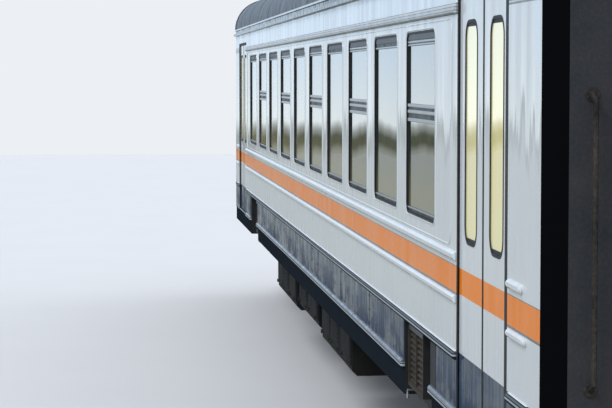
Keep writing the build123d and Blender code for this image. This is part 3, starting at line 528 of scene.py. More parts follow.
def dull_paint(name, colour, dust=(0.12, 0.10, 0.085), cover=0.5, rough=0.6, metal=0.0, gloss=0.08):
    """Plain paint under a settled coat of dust and brake dirt."""
    look = Look(name, Metallic=metal, Specular_IOR_Level=gloss)
    clouds = look.ramp(look.noise(3.5, detail=6, rough=0.65), [(0.3, 0), (0.8, 1)])
    specks = look.ramp(look.noise(60, detail=4), [(0.45, 0), (0.7, 1)])
    mask = look.math("MULTIPLY", look.scaled(specks, 0.4, clouds), cover, clamp=True)
    look.colour(look.mix(mask, colour, dust))
    look.rough(look.scaled(clouds, 0.25, rough - 0.1))
    look.bump((look.noise(120, detail=3), 0.25, 0.001))
    return look.material


def bright_metal(name, colour, rough=0.3, brushed=(1, 1, 30)):
    """Bare metal with a grain drawn out along the brushing."""
    look = Look(name, Metallic=1.0)
    grain = look.noise(90, brushed, 3)
    look.colour(look.mix(look.noise(6, detail=4), colour, tuple(c * 0.7 for c in colour)))
    look.rough(look.scaled(grain, 0.2, rough - 0.08))
    look.bump((grain, 0.08, 0.0005))
    return look.material


def rubber(name):
    look = Look(name, Specular_IOR_Level=0.3)
    look.colour(look.mix(look.noise(14, detail=5), (0.008, 0.008, 0.009), (0.03, 0.03, 0.03)))
    look.rough(look.scaled(look.noise(70), 0.3, 0.45))
    look.bump((look.noise(300, detail=2), 0.2, 0.0006))
    return look.material


def roof_paint():
    """Blue-grey roof enamel, dark with soot and streaked across."""
    look = Look("roof_sheet", Specular_IOR_Level=0.4)
    streaks = look.ramp(look.noise(5, (1, 0.12, 1), 6, 0.6), [(0.35, 0), (0.7, 1)])
    sooty = look.mix(look.noise(1.3, detail=6, rough=0.6), (0.045, 0.06, 0.085), (0.10, 0.125, 0.16))
    look.colour(look.mix(look.times(streaks, 0.5), sooty, (0.15, 0.15, 0.15)))
    look.rough(look.scaled(streaks, 0.25, 0.42))
    look.bump((look.noise(1.5, detail=2), 0.4, 0.015), (look.noise(150), 0.1, 0.001))
    return look.material


def glazing(name, colour, alpha, glow, index, coat, glow_below=None):
    """Panes that reflect strongly at a slant, as two sheets of glass do, with a painted warm glow standing
    for the lit room behind them and its glints.

    With a height given, the painted glow shows only under that height above the rail, and fades in over the
    fade distance below it, as the coat thins.
    """
    look = Look(name, colour, Alpha=alpha, IOR=index, Coat_Weight=coat, Coat_IOR=index, Coat_Roughness=0.02)
    look.shader.inputs["Emission Strength"].default_value = glow
    streaks = look.ramp(look.noise(9, (1, 1, 0.12), 5), [(0.35, 0), (0.85, 1)])
    look.rough(look.scaled(streaks, 0.1, 0.03))
    # Painted glow: warm streaked emission in the panes, for the lit room and its glints
    room_glow_colour = look.mix(streaks, (1.0, 0.9, 0.34), (1.0, 0.95, 0.68))
    if glow_below:
        glow_mask = look.rise(height(glow_below), look.xyz[2], GLOW_FADE)
        room_glow_colour = look.mix(glow_mask, (0, 0, 0), room_glow_colour)
        look.feed(look.shader.inputs["Coat Weight"], look.scaled(glow_mask, -COAT_LOSS * coat, coat))
    look.feed(look.shader.inputs["Emission Color"], room_glow_colour)
    wide, narrow = look.noise(0.9, (1, 1, 0.35), 2), look.noise(6, (1, 1, 0.4), 1)
    look.wave((wide, 0.05), (narrow, 0.008), faces=("Normal", "Coat Normal"))
    look.material.surface_render_method = "BLENDED"
    return look.material


def varnished_wood():
    look = Look("bench_wood", Coat_Weight=0.3, Coat_Roughness=0.2)
    grain = look.noise(8, (1, 0.15, 5), 8, 0.6)
    look.colour(look.mix(grain, (0.22, 0.10, 0.035), (0.42, 0.24, 0.10)))
    look.rough(look.scaled(grain, 0.2, 0.35))
    look.bump((grain, 0.2, 0.001))
    return look.material


def laminate(name, colour):
    """A smooth sheet with darker scuffs."""
    look = Look(name, Specular_IOR_Level=0.4)
    scuffs = look.ramp(look.noise(5, detail=7, rough=0.65), [(0.45, 0), (0.8, 1)])
    look.colour(look.mix(look.times(scuffs, 0.35), colour, tuple(c * 0.5 for c in colour)))
    look.rough(look.scaled(scuffs, 0.3, 0.4))
    look.bump((look.noise(200, detail=2), 0.08, 0.0006))
    return look.material


def lamp_glow():
    """Frosted lamp covers that light the rooms."""
    look = Look("lamp_cover", (0.9, 0.86, 0.75), Emission_Color=(1.0, 0.85, 0.6, 1), Emission_Strength=2.2)
    look.rough(0.4)
    return look.material


LOOKS = {
    "body_paint": side_paint("body_enamel", SIDE_BANDS, SIDE_WORN, SLATE_HIGH_H),
    "door_paint": side_paint("door_enamel", LEAF_BANDS, LEAF_WORN, 1.512, 0.6),
    "skirt_paint": dull_paint("skirt_black", (0.014, 0.02, 0.028), (0.028, 0.03, 0.034), 0.3, 0.5, gloss=0.0),
    "roof_paint": roof_paint(),
    # Near-black grey of the ends: dark dirty paint, darkened further as painted shade of the gap between
    # coaches
    "end_paint": dull_paint("end_grey_and_shade", (0.032, 0.036, 0.043), cover=0.3),
    "frame_paint": dull_paint("frame_black", (0.014, 0.014, 0.016), cover=0.6, rough=0.7),
    # Boxes under the floor near-black: dark paint, darkened further as painted shade under the coach
    "box_paint": dull_paint("box_black_and_shade", (0.012, 0.013, 0.015), (0.05, 0.045, 0.04), 0.4, gloss=0.03),
    "tank_paint": dull_paint("tank_black", (0.02, 0.021, 0.024), cover=0.45, rough=0.5),
    "bogie_paint": dull_paint("bogie_black", (0.018, 0.018, 0.02), BRAKE_DUST, 0.7, 0.7),
    "spring_steel": dull_paint("spring_black", (0.02, 0.02, 0.022), BRAKE_DUST, 0.5, 0.5),
    "wheel_steel": dull_paint("wheel_brown", (0.075, 0.05, 0.036), (0.15, 0.10, 0.065), 0.6, 0.65, 0.3),
    "cast_iron": dull_paint("shoe_iron", (0.05, 0.04, 0.034), (0.16, 0.09, 0.05), 0.7, 0.7, 0.4),
    "cast_steel": dull_paint("coupler_steel", (0.035, 0.03, 0.027), (0.14, 0.09, 0.055), 0.6, 0.6, 0.4),
    "window_metal": laminate("frame_black", (0.018, 0.02, 0.022)),
    # Window panes: a faint painted glow low down
    "glass": glazing("window_glazing", (0.03, 0.034, 0.02), 0.86, 0.08, 2.0, 1.0, 2.55),
    # Door panes: a yellowish tint and a stronger painted glow for the lit room seen through them
    "door_glass": glazing("door_glazing", (0.36, 0.35, 0.22), 0.92, 0.44, 1.6, 0.7),
    "grille_paint": dull_paint("grille_dust", (0.028, 0.025, 0.022), (0.11, 0.09, 0.07), 0.6, 0.65),
    "gangway_rubber": rubber("gangway_fabric"),
    "floor_cover": laminate("floor_sheet", (0.10, 0.075, 0.055)),
    "lining": laminate("cream_lining", (0.62, 0.55, 0.38)),
    "seat_wood": varnished_wood(),
    "rack_metal": bright_metal("rack_alloy", (0.55, 0.56, 0.58), 0.35),
}
SILVER_METAL = bright_metal("bright_strip", (0.52, 0.52, 0.53))
HEADER_METAL = bright_metal("header_strip", (0.13, 0.135, 0.15), 0.45)
TREAD_STEEL = bright_metal("tread_steel", (0.42, 0.41, 0.40), brushed=(1, 1, 1))
BLACK_RUBBER = rubber("black_rubber")
LAMP_GLOW = lamp_glow()


def dress_nodes():
    """Give every node of the frame the material of its slot."""
    for row in frame["record"]["subparts"]:
        node = frame["nodes"][row["node"]]
        node.data.materials.clear()
        node.data.materials.append(LOOKS[row["material_slot"]])


# Camera, light and floor

# The photograph's camera: its place, its turn and its dip in degrees, and its lens in millimetres
CAMERA_AT = (18.1693, -3.5771, 2.9832)
CAMERA_TURN, CAMERA_DIP = 5.739, 3.593
CAMERA_LENS, CAMERA_SENSOR = 118.86, 36.0
# Colours of the sky by the height of the direction: height, colour
SKY = [
    (-0.4, (0.16, 0.17, 0.16)),
    (-0.042, (0.18, 0.20, 0.19)),
    (-0.024, (0.86, 0.91, 0.97)),
    (0.6, (0.84, 0.90, 1.0)),
]
# What polished faces reflect: the ground, a pale strip and a dark one under the horizon, and the sky
REFLECTED = [
    (-0.4, (0.16, 0.16, 0.12)),
    (-0.042, (0.19, 0.19, 0.14)),
    (-0.040, (0.36, 0.38, 0.36)),
    (-0.037, (0.34, 0.36, 0.34)),
    (-0.035, (0.09, 0.10, 0.07)),
    (-0.026, (0.10, 0.11, 0.08)),
    (-0.023, (0.88, 0.97, 1.0)),
    (0.03, (0.64, 0.81, 1.0)),
    (0.6, (0.57, 0.73, 0.94)),
]
SKY_STRENGTH, REFLECTED_STRENGTH = 0.85, 1.15
BACKDROP = (0.84, 0.87, 0.91)
# Lamps: name, strength, turn about the axes and spread, in degrees
LAMPS = [("key", 1.45, (42, 0, 38), 25), ("fill", 0.6, (55, 0, 200), 60)]


def make_camera():
    turn, dip = math.radians(CAMERA_TURN), math.radians(CAMERA_DIP)
    ahead = Vector((-math.cos(turn) * math.cos(dip), math.sin(turn) * math.cos(dip), -math.sin(dip)))
    camera = link(bpy.data.objects.new("camera", bpy.data.cameras.new("camera")))
    camera.data.sensor_width = CAMERA_SENSOR
    camera.data.lens = CAMERA_LENS
    camera.data.clip_end = 300.0
    camera.location = CAMERA_AT
    camera.rotation_euler = ahead.to_track_quat("-Z", "Y").to_euler()
    bpy.context.scene.camera = camera


def make_lights():
    """A soft sky, darker under the horizon, plain for the camera, and two soft lamps."""
    world = bpy.data.worlds.new("studio")
    bpy.context.scene.world = world
    sky = Nodes(world)
    ahead = sky.node("ShaderNodeTexCoord").outputs["Generated"]
    up = sky.node("ShaderNodeSeparateXYZ", {0: ahead}).outputs[2]
    glows = []
    for rows, strength in ((SKY, SKY_STRENGTH), (REFLECTED, REFLECTED_STRENGTH)):
        low, high = rows[0][0], rows[-1][0]
        share = sky.node("ShaderNodeMapRange", {"Value": up, "From Min": low, "From Max": high}).outputs[0]
        colour = sky.ramp(share, [((spot - low) / (high - low), colour) for spot, colour in rows])
        glows.append(sky.node("ShaderNodeBackground", {"Color": colour, "Strength": strength}).outputs[0])
    plain = sky.node("ShaderNodeBackground", {"Color": BACKDROP, "Strength": 1.0}).outputs[0]
    ray = sky.node("ShaderNodeLightPath").outputs
    glow = sky.node("ShaderNodeMixShader", {0: ray["Is Glossy Ray"], 1: glows[0], 2: glows[1]}).outputs[0]
    seen = sky.node("ShaderNodeMixShader", {0: ray["Is Camera Ray"], 1: glow, 2: plain}).outputs[0]
    sky.feed(sky.tree.nodes["World Output"].inputs["Surface"], seen)
    for name, strength, turn, spread in LAMPS:
        lamp = link(bpy.data.objects.new(name, bpy.data.lights.new(name, "SUN")))
        lamp.data.energy = strength
        lamp.data.angle = math.radians(spread)
        lamp.rotation_euler = [math.radians(a) for a in turn]


def make_floor():
    """A pale floor, darker in what the coach reflects of it."""
    look = Look("pale_floor")
    pale = look.mix(look.noise(0.6, detail=4), (0.655, 0.655, 0.66), (0.69, 0.69, 0.695))
    seen = look.node("ShaderNodeLightPath").outputs["Is Camera Ray"]
    look.colour(look.mix(seen, (0.31, 0.32, 0.28), pale))
    look.rough(0.8)
    floor = Shape().box(about(0, 60), about(0, 60), (-0.02, 0.0))
    mesh_object("studio_floor", floor, look.material)


# The side: rubber, bright bars, beads and the air intakes

WINDOW_PITCH = 1.452
WINDOW_XS = [(i - 4.5) * WINDOW_PITCH for i in range(10)]
WINDOW_HALF = 0.53
WINDOW_R = 0.06
WINDOW_LOW, WINDOW_HIGH = height(2.139), height(3.217)
GLASS_HALF = 0.508
GLASS_LOW, GLASS_HIGH = (spot.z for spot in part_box("window_glass"))
MID_RAIL_LOW, MID_RAIL_HIGH = height(2.687), height(2.795)
SHEET_IN_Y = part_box("window_frames")[1].y
PANE_Y = SHEET_IN_Y - 0.004
# Bright bars of a window: upper edge, height
EDGE_BARS = [(GLASS_HIGH + 0.012, 0.012), (GLASS_LOW, 0.011)]
SPLIT_BARS = [
    (GLASS_HIGH + 0.031, 0.014),
    (MID_RAIL_HIGH, 0.021),
    (MID_RAIL_HIGH - 0.037, 0.021),
    (MID_RAIL_HIGH - 0.086, 0.022),
]


def side_windows():
    """Gasket, rim, bars, header and outer panes of every side window. Every second one is split."""
    wholes = gaskets, rims, bars, headers, panes = [Shape() for _ in range(5)]
    for side in SIDES:
        parts = gasket, rim, bar, header, pane = [Shape() for _ in range(5)]
        for i, x in enumerate(WINDOW_XS):
            split = (i % 2 == 0) == (side == "left")
            low, high = (x - WINDOW_HALF, WINDOW_LOW), (x + WINDOW_HALF, WINDOW_HIGH)
            edge, lip, outer, line = frame_outlines(low, high, WINDOW_R, 0.0005, 0.009, -0.004, -0.012)
            gasket.ring(edge, lip, 1, SHEET_IN_Y + 0.0005, SIDE_Y + 0.0002)
            gasket.ring(outer, lip, 1, SIDE_Y + 0.0002, SIDE_Y + 0.0015)
            rim.tube(raised(line, 1, SIDE_Y), 0.0045, 6, closed=True)
            wide = about(x, GLASS_HALF)
            for top, size in EDGE_BARS + SPLIT_BARS * split:
                bar.box(wide, span(SHEET_IN_Y, -0.006, 0.005), (top - size, top), 0.003)
            tall = (GLASS_HIGH + 0.034, WINDOW_HIGH - 0.004)
            header.box(wide, span(SHEET_IN_Y, -0.001, 0.003), tall, 0.002)
            levels = [GLASS_LOW, *[MID_RAIL_LOW, MID_RAIL_HIGH] * split, GLASS_HIGH]
            for tall in zip(levels[::2], levels[1::2]):
                pane.box(wide, span(PANE_Y, -0.005, 0), tall)
        for whole, part in zip(wholes, parts):
            whole.add(part, corner("front", side))
    piece("window_gaskets", gaskets, BLACK_RUBBER)
    piece("window_rims", rims, "body_paint")
    piece("window_bars", bars, SILVER_METAL)
    piece("window_headers", headers, HEADER_METAL)
    piece("outer_panes", panes, "glass")


def doorway_seals():
    """Rubber round each doorway, flush at the outer jamb and low at the inner one, and the sill plates."""
    seal, sill = Shape(), Shape()
    y, tall = LEAF_Y + 0.0035, (LEAF_LOW.z + 0.004, LINTEL_Z)
    seal.box(span(DOOR_OUT_X, -0.066, 0), (y, SIDE_Y + 0.001), tall, 0.006)
    seal.box(span(DOOR_IN_X, 0, 0.022), (y, SIDE_Y - 0.001), tall, 0.004)
    wide = (DOOR_IN_X + 0.03, DOOR_OUT_X - 0.066)
    seal.box(wide, (y, SIDE_Y - 0.004), span(LINTEL_Z, -0.03, 0), 0.005)
    piece("doorway_seals", seal.copies(CORNERS), BLACK_RUBBER)
    z = SKIRT_HIGH.z
    sill.box((DOOR_IN_X, DOOR_OUT_X), (LEAF_Y + 0.006, SKIRT_HIGH.y), span(z, 0, 0.004), 0.001)
    for i in range(3):
        y = LEAF_Y + 0.010 + 0.006 * i
        sill.box((DOOR_IN_X + 0.01, DOOR_OUT_X - 0.01), span(y, 0, 0.003), span(z, 0, 0.006), 0.001)
    piece("sill_plates", sill.copies(CORNERS), SILVER_METAL)


LEAF_WINDOW_HALF = 0.1615
LEAF_WINDOW_R = 0.09
LEAF_WINDOW_LOW, LEAF_WINDOW_HIGH = height(2.107), height(3.235)
# Leaves of a doorway: name, jamb, way from the middle to the jamb
LEAVES = [("outer", DOOR_OUT_X, 1), ("inner", DOOR_IN_X, -1)]


def leaf_trim(end, side, leaf, jamb, way):
    """Window gasket, meeting rubber, outer pane and inner plates of a door leaf, riding on it."""
    mid = (DOOR_MID_X + jamb) / 2
    low, high = (mid - LEAF_WINDOW_HALF, LEAF_WINDOW_LOW), (mid + LEAF_WINDOW_HALF, LEAF_WINDOW_HIGH)
    edge, lip, outer, glass = frame_outlines(low, high, LEAF_WINDOW_R, 0.0005, 0.007, -0.009, 0.005)
    trim, plates = Shape(), Shape()
    trim.ring(edge, lip, 1, LEAF_Y - 0.0115, LEAF_Y)
    trim.ring(outer, lip, 1, LEAF_Y, LEAF_Y + 0.0022)
    near, tall = DOOR_MID_X + way * 0.0012, (LEAF_LOW.z + 0.01, LEAF_HIGH.z - 0.01)
    trim.box((near, near + way * 0.0025), span(LEAF_Y, -0.03, 0), tall)
    trim.box((near, near + way * 0.014), span(LEAF_Y, 0, 0.0022), tall, 0.001)
    for z, up in ((LEAF_WINDOW_HIGH, -1), (LEAF_WINDOW_LOW, 1)):
        wide, tall = about(mid, LEAF_WINDOW_HALF - 0.03), (z + up * 0.006, z + up * 0.026)
        trim.box(wide, span(LEAF_Y, -0.009, -0.002), tall)
    for tall in (span(RAIL_Z, 2.02, 2.06), (LEAF_LOW.z + 0.02, height(1.75))):
        plates.box(about(mid, 0.27), span(LEAF_LOW.y, -0.0025, 0), tall)
    pane = Shape().prism(glass, 1, LEAF_Y - 0.008, LEAF_Y - 0.003)
    for name, shape, look in (
        ("rubber", trim, BLACK_RUBBER),
        ("pane", pane, "door_glass"),
        ("inner_plates", plates, SILVER_METAL),
    ):
        tag = f"{end}_{side}_{leaf}"
        piece(f"{name}_{tag}", shape.copies([corner(end, side)]), look, f"door_{tag}")


# Short ribs of the corner walls: lower and upper height above the rail, far end from the doorway
STUB_RIBS = [(1.995, 2.038, 0.325), (1.772, 1.812, 0.411), (1.470, 1.517, 0.454)]
STUB_RIB_NEAR = 0.058
BELT_HALF, BELT_R = DOOR_IN_X - 0.16, 0.09
BELT_LOW, BELT_HIGH = height(2.062), height(3.262)
BAND_LOW, BAND_HIGH = height(SLATE_LOW_H), height(1.469)
BAND_JOINT_XS = (-5.2, -3.45, -1.7, 0.42, 0.92, 2.6, 4.3)


def side_beads():
    """The pressed bead round the window belt of each side."""
    line = rounded((-BELT_HALF, BELT_LOW), (BELT_HALF, BELT_HIGH), BELT_R)
    belt = Shape().tube(raised(line, 1, SIDE_Y + 0.0005), 0.0045, 6, closed=True)
    piece("sheet_beads", belt.copies(BOTH_SIDES), "body_paint")


def rib_ends():
    """Rounded ends of the short ribs between each doorway and the end."""
    ends = Shape()
    for low, high, reach in STUB_RIBS:
        half = (high - low) / 2
        profile = [(0, half), (0.008, half), (RIB_OUT - 0.004, half - 0.008)]
        profile += [(RIB_OUT, half - 0.014), (RIB_OUT, 0)]
        for along in (STUB_RIB_NEAR, reach):
            ends.lathe(profile, (DOOR_OUT_X + along, SIDE_Y, height((low + high) / 2)), (0, 1, 0), 24)
    piece("rib_ends", ends.copies(CORNERS), "body_paint")


def band_joints():
    """Joints of the hatches in the slate band, with their screws."""
    joints, screws = Shape(), Shape()
    for x in BAND_JOINT_XS:
        joints.box(about(x, 0.007), span(SIDE_Y, -0.001, 0.0012), (BAND_LOW, BAND_HIGH))
        for z in (BAND_LOW + 0.03, (BAND_LOW + BAND_HIGH) / 2, BAND_HIGH - 0.03):
            for spot in about(x, 0.03):
                screws.disc((spot, SIDE_Y, z), (0, 1, 0), 0.007, 0.003, steps=10)
    piece("band_joints", joints.copies(BOTH_SIDES), BLACK_RUBBER)
    piece("band_screws", screws.copies(BOTH_SIDES), "body_paint")


INTAKE_HIGH_X = DOOR_IN_X - 0.819
INTAKE_LOW_X = INTAKE_HIGH_X - 1.026
INTAKE_Y = SIDE_Y - 0.08
INTAKE_LOW, INTAKE_HIGH = SKIRT_LOW.z + 0.001, height(SLATE_HIGH_H) - 0.0005
GRILLE_LOW, GRILLE_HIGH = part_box("intake_grilles")
GRILLE_IN_X, GRILLE_OUT_X = GRILLE_HIGH.x - 0.58, GRILLE_HIGH.x
GRILLE_Y, GRILLE_RIM = GRILLE_HIGH.y, 0.018
# Dark strips beside the intakes, as painted shade: lower and upper edge
SHADE_STRIP_LOW, SHADE_STRIP_HIGH = height(1.218), height(1.466)


def intakes():
    """Black lining of the recesses as painted shade, with the grilles' dark headers, rims and hooks, and dark
    strips beside them as painted shade.
    """
    lining, header, rims, shade_strip = Shape(), Shape(), Shape(), Shape()
    # Black sheets lining each recess, as painted shade in it
    back, tall = span(INTAKE_Y, 0, 0.002), (INTAKE_LOW, INTAKE_HIGH)
    for wide in ((INTAKE_LOW_X, GRILLE_IN_X), (GRILLE_OUT_X, INTAKE_HIGH_X)):
        lining.box(wide, back, tall)
    for x, way in ((INTAKE_LOW_X, 1), (INTAKE_HIGH_X, -1)):
        lining.box((x, x + way * 0.002), (back[1], SKIRT_HIGH.y - 0.001), tall)
    wide = (INTAKE_LOW_X + 0.002, INTAKE_HIGH_X - 0.002)
    lining.box(wide, (back[1], SIDE_Y - 0.002), span(INTAKE_HIGH, -0.002, 0))
    lining.box((GRILLE_IN_X + 0.001, GRILLE_OUT_X - 0.001), back, (INTAKE_LOW, GRILLE_LOW.z))
    for x, way in ((GRILLE_IN_X, -1), (GRILLE_OUT_X, 1)):
        lining.box((x, x + way * 0.0015), (back[1], GRILLE_Y), (GRILLE_LOW.z + 0.001, INTAKE_HIGH - 0.002))
    piece("intake_shade_linings", lining.copies(CORNERS), BLACK_RUBBER)
    wide, tall = (GRILLE_IN_X + 0.004, GRILLE_OUT_X - 0.004), span(INTAKE_HIGH, -0.058, -0.006)
    header.box(wide, span(GRILLE_Y, 0, 0.003), tall, 0.001)
    piece("grille_headers", header.copies(CORNERS), HEADER_METAL)
    deep, foot = span(GRILLE_Y, 0, 0.004), (GRILLE_LOW.z, GRILLE_LOW.z + GRILLE_RIM)
    for x in (GRILLE_IN_X, GRILLE_OUT_X - GRILLE_RIM):
        rims.box((x, x + GRILLE_RIM), deep, (GRILLE_LOW.z, INTAKE_HIGH - 0.006), 0.0015)
    rims.box((GRILLE_IN_X + GRILLE_RIM, GRILLE_OUT_X - GRILLE_RIM), deep, foot, 0.0015)
    piece("grille_rims", rims.copies(CORNERS), "grille_paint")
    x, y, z = INTAKE_LOW_X + 0.018, SIDE_Y - 0.022, INTAKE_LOW
    path = [(x, back[1], z + 0.03), (x, y, z + 0.03), (x, y, z), (x + 0.012, y, z - 0.022)]
    piece("intake_hooks", Shape().tube(path, 0.007, 8).copies(CORNERS), SILVER_METAL)
    # Dark strip on the side beside each intake, as painted shade
    wide = span(INTAKE_HIGH_X, 0.004, 0.178)
    shade_strip.box(wide, span(SIDE_Y, 0, 0.002), (SHADE_STRIP_LOW, SHADE_STRIP_HIGH), 0.001)
    piece("intake_shade_strips", shade_strip.copies(CORNERS), "end_paint")


# The roof

EAVES_Z = height(3.6)
ROOF_CORNER_R = 0.4
ROOF_CORNER_Y = SIDE_Y - ROOF_CORNER_R
ROOF_RISE = 0.65
CROWN_R = (ROOF_CORNER_Y**2 + ROOF_RISE**2 - ROOF_CORNER_R**2) / (2 * (ROOF_RISE - ROOF_CORNER_R))
CROWN_Z = TOP_Z - CROWN_R
VENT_PITCH = 2.4


def crown_height(y):
    return CROWN_Z + math.sqrt(CROWN_R**2 - y**2)


def roof_line(out, steps=8):
    """Points (y, z) of the roof's section, a distance outside the sheet, from -Y to +Y."""
    lean = math.atan2(EAVES_Z - CROWN_Z, ROOF_CORNER_Y)
    half = []
    for y, z, radius, start, stop in (
        (ROOF_CORNER_Y, EAVES_Z, ROOF_CORNER_R + out, 0, lean),
        (0, CROWN_Z, CROWN_R + out, lean, math.pi / 2),
    ):
        for k in range(1 if half else 0, steps + 1):
            turn = start + (stop - start) * k / steps
            half.append((y + radius * math.cos(turn), z + radius * math.sin(turn)))
    return [(-y, z) for y, z in half[:-1]] + half[::-1]


def roof_band(low, high, x0, x1):
    """A strip over the whole roof between two distances from the sheet."""
    return Shape().prism(roof_line(high) + roof_line(low)[::-1], 0, x0, x1)


def roof_detail():
    """Raised seams of the sheets, slats and lids of the ventilators, and lifting eyes."""
    seams, vents, lids, eyes = Shape(), Shape(), Shape(), Shape()
    for i in range(-6, 7):
        seams.add(roof_band(-0.004, 0.003, *about(i * WINDOW_PITCH, 0.014)))
    for x in (-END_X, END_X - 0.05):
        seams.add(roof_band(-0.004, 0.012, x, x + 0.05))
    for side in SIDES.values():
        for y in (0.42, 0.86):
            z = crown_height(y)
            seams.box(about(0, END_X - 0.1), about(side * y, 0.012), span(z, -0.02, 0.008), 0.004)
    piece("roof_seams", seams, "roof_paint")
    for i in range(7):
        x = (i - 3) * VENT_PITCH
        lids.box(about(x, 0.27), about(0, 0.30), span(TOP_Z, 0.11, 0.118), 0.003)
        for side in SIDES.values():
            for z in (TOP_Z + 0.008, TOP_Z + 0.024, TOP_Z + 0.040):
                vents.box(about(x, 0.24), (side * 0.328, side * 0.338), span(z, 0, 0.008), 0.002)
        for way in ENDS.values():
            for z in (TOP_Z + 0.012, TOP_Z + 0.030):
                vents.box((x + way * 0.298, x + way * 0.306), about(0, 0.26), span(z, 0, 0.008), 0.002)
            for y in (-0.25, 0.25):
                vents.disc((x + way * 0.22, y, TOP_Z + 0.118), (0, 0, 1), 0.012, 0.006, steps=6)
    piece("vent_slats", vents, "frame_paint")
    piece("vent_lids", lids, "roof_paint")
    y = 1.05
    low, high = crown_height(y) - 0.01, crown_height(y) + 0.04
    for x in (2.0, 6.0, 9.2):
        near, far = about(x, 0.05)
        eyes.tube([(near, y, low), (near, y, high), (far, y, high), (far, y, low)], 0.008, 8)
    piece("lifting_eyes", eyes.copies(CORNERS), "roof_paint")


# The ends

GANGWAY_LOW, GANGWAY_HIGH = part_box("gangways")
GANGWAY_X = GANGWAY_HIGH.x
GANGWAY_FACE = 0.02
GANGWAY_R = 0.11
PASSAGE_HALF, PASSAGE_HIGH = 0.43, height(3.38)
FOLDS, FOLD_STEPS, FOLD_DEPTH = 4, 36, 0.03
BOLT_Y, BOLT_PITCH = 0.495, 0.33
COUPLER_Z = height(1.06)


def gangway():
    """Bellows of the gangway in soft folds, with the face frame and the footplate."""
    face, plate = Shape(), Shape()
    length = GANGWAY_X - GANGWAY_FACE - END_X
    low = (-GANGWAY_HIGH.y + 0.002, GANGWAY_LOW.z + 0.002)
    high = (GANGWAY_HIGH.y - 0.002, GANGWAY_HIGH.z - 0.002)
    inner = rounded((-PASSAGE_HALF, FLOOR_Z), (PASSAGE_HALF, PASSAGE_HIGH), 0.01)
    rings = [raised(inner, 0, END_X)]
    for k in range(FOLD_STEPS + 1):
        inset = FOLD_DEPTH * (0.5 - 0.5 * math.cos(2 * math.pi * FOLDS * k / FOLD_STEPS))
        line, = frame_outlines(low, high, GANGWAY_R, inset)
        rings.append(raised(line, 0, END_X + length * k / FOLD_STEPS))
    bellows = Shape().skin(rings + [raised(inner, 0, END_X + length)], closed=True)
    piece("bellows", bellows.copies(BOTH_ENDS), "gangway_rubber", stands_for=("gangways",))
    face.ring(rounded(low, high, GANGWAY_R), inner, 0, GANGWAY_X - GANGWAY_FACE, GANGWAY_X)
    for y in (-BOLT_Y, BOLT_Y):
        for i in range(6):
            face.disc((GANGWAY_X, y, FLOOR_Z + 0.15 + BOLT_PITCH * i), (1, 0, 0), 0.014, 0.008, steps=6)
    piece("gangway_faces", face.copies(BOTH_ENDS), "frame_paint")
    plate.box((END_X - 0.02, GANGWAY_X - 0.005), about(0, 0.40), span(FLOOR_Z, 0.001, 0.009), 0.002)
    for i in range(9):
        for k in range(24):
            x, y = END_X + 0.02 + 0.03 * i, -0.37 + 0.032 * k + 0.016 * (i % 2)
            plate.box(span(x, 0, 0.018), about(y, 0.004), span(FLOOR_Z, 0.008, 0.011))
    piece("footplates", plate.copies(BOTH_ENDS), "frame_paint")


def end_walls():
    """Stiffening ribs, grab rails, ladder and the roof's end bead, and the end doors' handles."""
    ribs, rails, ladder, handles = Shape(), Shape(), Shape(), Shape()
    for y in (0.78, 0.98, 1.18, 1.38):
        ribs.box(span(END_X, -0.001, 0.016), about(y, 0.03), span(RAIL_Z, 1.5, 3.45), 0.012)
    for z in (height(1.2), height(1.30)):
        ribs.box(span(END_X, -0.001, 0.010), (0.30, 1.6), span(z, 0, 0.03), 0.006)
    ribs = ribs.copies(BOTH_SIDES).add(roof_band(-0.03, 0.0, END_X, END_X + 0.012))
    piece("end_ribs", ribs.copies(BOTH_ENDS), "end_paint")
    low, high, x = height(1.62), height(2.88), END_X + 0.06
    for y in (1.52, 0.66):
        rails.tube([(END_X, y, low), (x, y, low + 0.03), (x, y, high - 0.03), (END_X, y, high)], 0.013, 10)
        for z in (low, high):
            rails.disc((END_X, y, z), (1, 0, 0), 0.03, 0.006)
    x = END_X + 0.08
    for i in range(7):
        z = height(1.55) + 0.27 * i
        ladder.tube([(END_X, 1.24, z), (x, 1.24, z), (x, 1.46, z), (END_X, 1.46, z)], 0.010, 8)
    piece("end_rails", rails.copies(BOTH_SIDES).add(ladder).copies(BOTH_ENDS), "frame_paint")
    z = height(2.42)
    for x, way in ((END_X - 0.055, -1), (END_X - 0.015, 1)):
        handles.disc((x, 0.33, z), (way, 0, 0), 0.028, 0.012)
        path = [(x + way * 0.01, 0.33, z), (x + way * 0.04, 0.33, z), (x + way * 0.045, 0.21, z)]
        handles.tube(path, 0.009, 8)
    for end, matrix in zip(ENDS, BOTH_ENDS):
        piece(f"end_door_handles_{end}", handles.copies([matrix]), SILVER_METAL, f"end_door_{end}")


